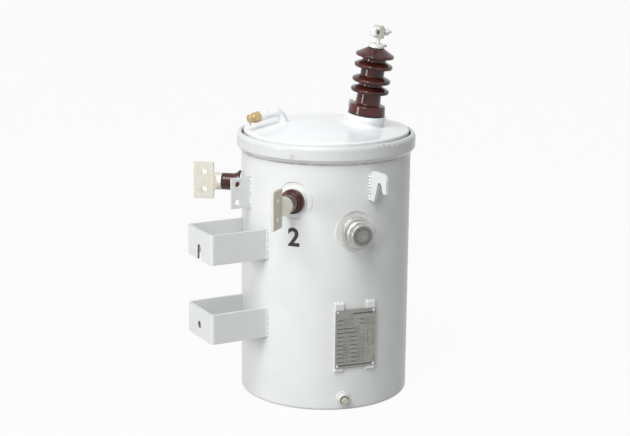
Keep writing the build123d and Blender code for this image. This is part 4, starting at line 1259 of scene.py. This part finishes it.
class TRANSFORMER_OT_tap_changer(bpy.types.Operator):
    """Build the tap changer: welded ring, knurled flange, drum and face"""

    bl_idname = "transformer.tap_changer"
    bl_label = "Tap changer"

    def execute(self, context):
        base = tap_seat(context.scene)
        piece("tap_ring", [disc(TAP_SEAT / MM, -11, -3.2, 2, base, 128, 6)], ["Tank enamel"], "tap_boss")
        self.build_flange(raised(base, TAP_LIFT), context.scene.fitting_sizes.tap_ribs)
        self.build_drum(raised(base, TAP_LIFT + TAP_BODY * MM))
        return {"FINISHED"}

    def build_flange(self, place, ribs):
        """Flange with a knurled rim: each rib is two points out and two points in."""
        points = []
        for index in range(ribs * 4):
            angle = 2 * math.pi * index / (ribs * 4)
            reach = (TAP_FLANGE - 1.3 if index % 4 in (0, 1) else TAP_FLANGE) * MM
            points.append((reach * math.cos(angle), reach * math.sin(angle)))
        knurl = plank(points, place, 2.5 * MM, 10 * MM, 0.25 * MM, 1)
        corners = [(0, -9), (TAP_FLANGE - 3, -9), (TAP_FLANGE - 3, 0.5), (TAP_FLANGE, 0.5, 0.5)]
        corners += [(TAP_FLANGE, 2.5, 0.5), (TAP_FLANGE - 1.2, 3.5), (TAP_FLANGE - 1.2, TAP_BODY, 1.6)]
        corners += [(0, TAP_BODY)]
        body = turned(corners, place, 128)
        piece("knurled_flange", [body, knurl], ["Turned aluminium"], "tap_flange")

    def build_drum(self, place):
        """Drum whose face carries two circles and a ring of plain ticks."""
        corners = [(0, 0), (31.5, 0), (31.5, 9, 1.5), (28, 12.5, 1.5), (28, TAP_DRUM, 2.5)]
        corners += [(22, 31.8, 4), (3.6, 31.3, 0.2), (3, 30.6, 0.2), (0, 30.6)]
        drum = turned(corners, place, 128)
        marks = []
        for inner, outer in ((14.2, 14.7), (19.6, 20.7)):
            line = [(inner, 31), (outer, 31), (outer, 31.85), (inner, 31.85)]
            marks.append(turned(line, place, 96, closed=True))
        for index in range(TICKS):
            swing = Matrix.Rotation(2 * math.pi * (index + 0.5) / TICKS, 4, "Z")
            half = (2.3 if index % 2 else 1.3) * MM
            bar = [(-0.9 * MM, -half), (0.9 * MM, -half), (0.9 * MM, half), (-0.9 * MM, half)]
            marks.append(plank(bar, raised(place @ swing, 0, TICK_RADIUS), 31 * MM, 31.9 * MM, 0.15 * MM, 1))
        for shape in marks:
            for face in shape.faces:
                face.material_index = 1
        piece("tap_drum", [drum, *marks], ["Turned aluminium", "Marking paint"], "tap_cap")


class TRANSFORMER_OT_nameplate(bpy.types.Operator):
    """Build the ruled nameplate, its straps and its rivets"""

    bl_idname = "transformer.nameplate"
    bl_label = "Nameplate"

    def execute(self, context):
        tank = context.scene.tank_sizes
        fittings = context.scene.fitting_sizes
        base = outward(fittings.plate_angle, tank.radius + PLATE_LIFT, fittings.plate_height)
        wide = PLATE_WIDTH / MM / 2
        tall = PLATE_HEIGHT / MM / 2
        self.build_straps(base, tall, on_wall(tank))
        self.build_sheet(base, wide, tall)
        self.build_rivets(base, wide - RIVET_INSET, tall - RIVET_INSET)
        return {"FINISHED"}

    def build_straps(self, base, tall, depth):
        """Straps that carry the plate, and the weld beads at their four ends."""
        dressed("plate_straps", "nameplate_straps", 0.7 * MM, "Bracket enamel")
        beads = []
        for run in ((-52 * MM, -28 * MM), (28 * MM, 52 * MM)):
            for height in ((tall + 15) * MM, (-tall - 8) * MM):
                ends = [base @ Vector((across, height, depth(across, 0) - 2 * MM)) for across in run]
                beads.append(weld(straight_path(*ends), 2.4 * MM, 0.9, len(beads) + 80, 7))
        piece("strap_welds", beads, ["Weld enamel"])

    def build_sheet(self, base, wide, tall):
        """Plate with a map that runs from 0 to 1 both ways, for its ruling."""
        outline = rounded([(-wide, -tall, 3), (wide, -tall, 3), (wide, tall, 3), (-wide, tall, 3)], 5)
        sheet = plank(outline, UPRIGHT, 0, PLATE_SHEET, 0.3 * MM)
        spread = sheet.loops.layers.uv.new("Plate")
        for face in sheet.faces:
            for corner in face.loops:
                spot = corner.vert.co
                corner[spread].uv = (spot.x / PLATE_WIDTH + 0.5, spot.y / PLATE_HEIGHT + 0.5)
        bmesh.ops.transform(sheet, matrix=base, verts=sheet.verts)
        piece("etched_nameplate", [sheet], ["Etched plate"], "nameplate")

    def build_rivets(self, base, across, along):
        """Four rivet heads, as far as that from the plate's middle."""
        head = [(0, 0), (2.8, 0), (2.4, 1.2, 0.8), (0.6, 1.6, 1), (0, 1.6)]
        heads = []
        for right in (-across * MM, across * MM):
            for up in (-along * MM, along * MM):
                heads.append(turned(head, raised(base, PLATE_SHEET, right, up), 24, 3))
        piece("plate_rivets", heads, ["Rivet metal"], "nameplate_rivets")


class TRANSFORMER_OT_earth_boss(bpy.types.Operator):
    """Build the ground boss near the foot and its bolt"""

    bl_idname = "transformer.earth_boss"
    bl_label = "Ground boss"

    def execute(self, context):
        tank = context.scene.tank_sizes
        fittings = context.scene.fitting_sizes
        base = outward(fittings.earth_angle, tank.radius, fittings.earth_height)
        boss = disc(12.5, -3, EARTH_REACH, 1.5, base, 64, 5)
        bead = weld(ring_path(base, EARTH_BEAD, on_wall(tank), 88), 3.0 * MM, 0.8, 17, closed=True)
        piece("ground_boss_pad", [boss, bead], ["Tank enamel"], "earth_boss")
        end = raised(base, EARTH_REACH * MM)
        washer = disc(11, 0, 2, 0.6, end, foot=0.5)
        for face in washer.faces:
            face.material_index = 1
        head = plank(hexagon(BOLT_RADIUS), end, 1.8 * MM, 9.5 * MM, 0.8 * MM)
        crown = turned([(0, 9), (7.6, 9), (6.6, 10.5, 0.6), (0, 10.5)], end, 48, 3)
        piece("ground_bolt", [washer, head, crown], ["Bolt head", "Cut edge"], "earth_bolt")
        return {"FINISHED"}


class TRANSFORMER_OT_markings(bpy.types.Operator):
    """Stencil a plain number beside each side bushing"""

    bl_idname = "transformer.markings"
    bl_label = "Markings"

    def execute(self, context):
        radius = context.scene.tank_sizes.radius
        for name, text, angle in (("number_two", "2", MARK_RIGHT), ("number_one", "1", MARK_LEFT)):
            words = bpy.data.curves.new(name, "FONT")
            words.body = text
            words.size = MARK_SIZE
            words.align_x = "CENTER"
            words.offset = 1.6 * MM
            words.extrude = 0.06 * MM
            shape = from_curve(words)
            for step in range(-4, 5):
                whole = shape.verts[:] + shape.edges[:] + shape.faces[:]
                spot = (step * MARK_STRIP, 0, 0)
                bmesh.ops.bisect_plane(shape, geom=whole, plane_co=spot, plane_no=(1, 0, 0))
            for spot in shape.verts:
                swing = angle + spot.co.x / radius
                reach = radius + 0.08 * MM + spot.co.z
                spot.co = (reach * math.sin(swing), -reach * math.cos(swing), MARK_FOOT + spot.co.y)
            piece(name, [shape], ["Marking paint"])
        return {"FINISHED"}


class TRANSFORMER_OT_stage(bpy.types.Operator):
    """Set the floor, the lights and the camera"""

    bl_idname = "transformer.stage"
    bl_label = "Stage"

    def execute(self, context):
        scene = context.scene
        scene.view_settings.view_transform = "Standard"
        self.light_world(scene)
        self.lay_floor()
        for name, spot, wide, tall in LAMPS:
            self.hang_lamp(name, getattr(scene.studio, name.lower()), spot, wide, tall)
        self.set_camera(scene)
        return {"FINISHED"}

    def light_world(self, scene):
        """Even light all round, seen as white behind the object."""
        scene.world = bpy.data.worlds.new("Studio")
        sky = NodeMaker(scene.world)
        light = sky.tree.nodes["Background"]
        sky.fill(light.inputs["Color"], (0.95, 0.98, 1.0, 1))
        sky.fill(light.inputs["Strength"], scene.studio.sky)
        white = sky.node("ShaderNodeBackground", {}, {"Color": WHITE})
        sky.end_in("World Output", sky.seen(), light, white)

    def lay_floor(self):
        """Pale floor that shows white to the camera and keeps a soft shadow."""
        shape = bmesh.new()
        bmesh.ops.create_grid(shape, x_segments=2, y_segments=2, size=FLOOR_REACH)
        floor = placed("floor", mesh_of("floor", shape))
        pale = Finish("Pale floor", {"Base Color": (0.45, 0.45, 0.45, 1), "Roughness": 0.9})
        glow = pale.node("ShaderNodeEmission", {}, {"Color": WHITE})
        pale.end_in("Material Output", pale.seen() * FLOOR_GLOW, pale.shader, glow)
        floor.data.materials.append(pale.material)

    def hang_lamp(self, name, watts, spot, wide, tall):
        """Flat lamp turned towards the middle of the object."""
        lamp = bpy.data.lights.new(name, "AREA")
        lamp.energy = watts
        lamp.shape = "RECTANGLE"
        lamp.size = wide
        lamp.size_y = tall
        aim = Vector((0, 0, AIM_HEIGHT)) - Vector(spot)
        swing = aim.to_track_quat("-Z", "Y").to_matrix().to_4x4()
        placed(name, lamp).matrix_world = Matrix.Translation(spot) @ swing

    def set_camera(self, scene):
        """Camera at the photograph's place, turned by the heading, the pitch and the roll."""
        studio = scene.studio
        view = bpy.data.cameras.new("Camera")
        view.lens = studio.lens
        view.sensor_width = 36
        grid = Matrix.Rotation(CAMERA_AZIMUTH, 4, "Z")
        grid @= Matrix.Translation((0, -studio.distance, studio.camera_height))
        grid @= Matrix.Rotation(-studio.heading - CAMERA_AZIMUTH, 4, "Z")
        grid @= Matrix.Rotation(math.pi / 2 - studio.pitch, 4, "X")
        grid @= Matrix.Rotation(studio.roll, 4, "Z")
        scene.camera = placed("Camera", view)
        scene.camera.matrix_world = grid


BUILDERS = (
    TRANSFORMER_OT_finishes,
    TRANSFORMER_OT_tank,
    TRANSFORMER_OT_lid,
    TRANSFORMER_OT_clamp_ring,
    TRANSFORMER_OT_tall_bushing,
    TRANSFORMER_OT_post,
    TRANSFORMER_OT_relief_pipe,
    TRANSFORMER_OT_side_bushings,
    TRANSFORMER_OT_brackets,
    TRANSFORMER_OT_lugs,
    TRANSFORMER_OT_tap_changer,
    TRANSFORMER_OT_nameplate,
    TRANSFORMER_OT_earth_boss,
    TRANSFORMER_OT_markings,
    TRANSFORMER_OT_stage,
)
GROUPS = {
    "tank_sizes": TankSizes,
    "bushing_sizes": BushingSizes,
    "fitting_sizes": FittingSizes,
    "finish_colours": FinishColours,
    "studio": StudioSettings,
}


class TRANSFORMER_PT_panel(bpy.types.Panel):
    """Lists the builders in the order in which they run"""

    bl_idname = "TRANSFORMER_PT_panel"
    bl_label = "Transformer"
    bl_space_type = "VIEW_3D"
    bl_region_type = "UI"
    bl_category = "Transformer"

    def draw(self, context):
        for builder in BUILDERS:
            self.layout.operator(builder.bl_idname, text=builder.bl_label)
        for name in GROUPS:
            group = getattr(context.scene, name)
            box = self.layout.box()
            for setting in group.bl_rna.properties.keys():
                if setting not in ("rna_type", "name"):
                    box.prop(group, setting)


def register():
    for name, group in GROUPS.items():
        bpy.utils.register_class(group)
        setattr(bpy.types.Scene, name, PointerProperty(type=group))
    for builder in (*BUILDERS, TRANSFORMER_PT_panel):
        bpy.utils.register_class(builder)


def unregister():
    for builder in reversed((*BUILDERS, TRANSFORMER_PT_panel)):
        bpy.utils.unregister_class(builder)
    for name, group in GROUPS.items():
        delattr(bpy.types.Scene, name)
        bpy.utils.unregister_class(group)


def main():
    register()
    for builder in BUILDERS:
        group, _, action = builder.bl_idname.partition(".")
        getattr(getattr(bpy.ops, group), action)()


if __name__ == "__main__":
    main()
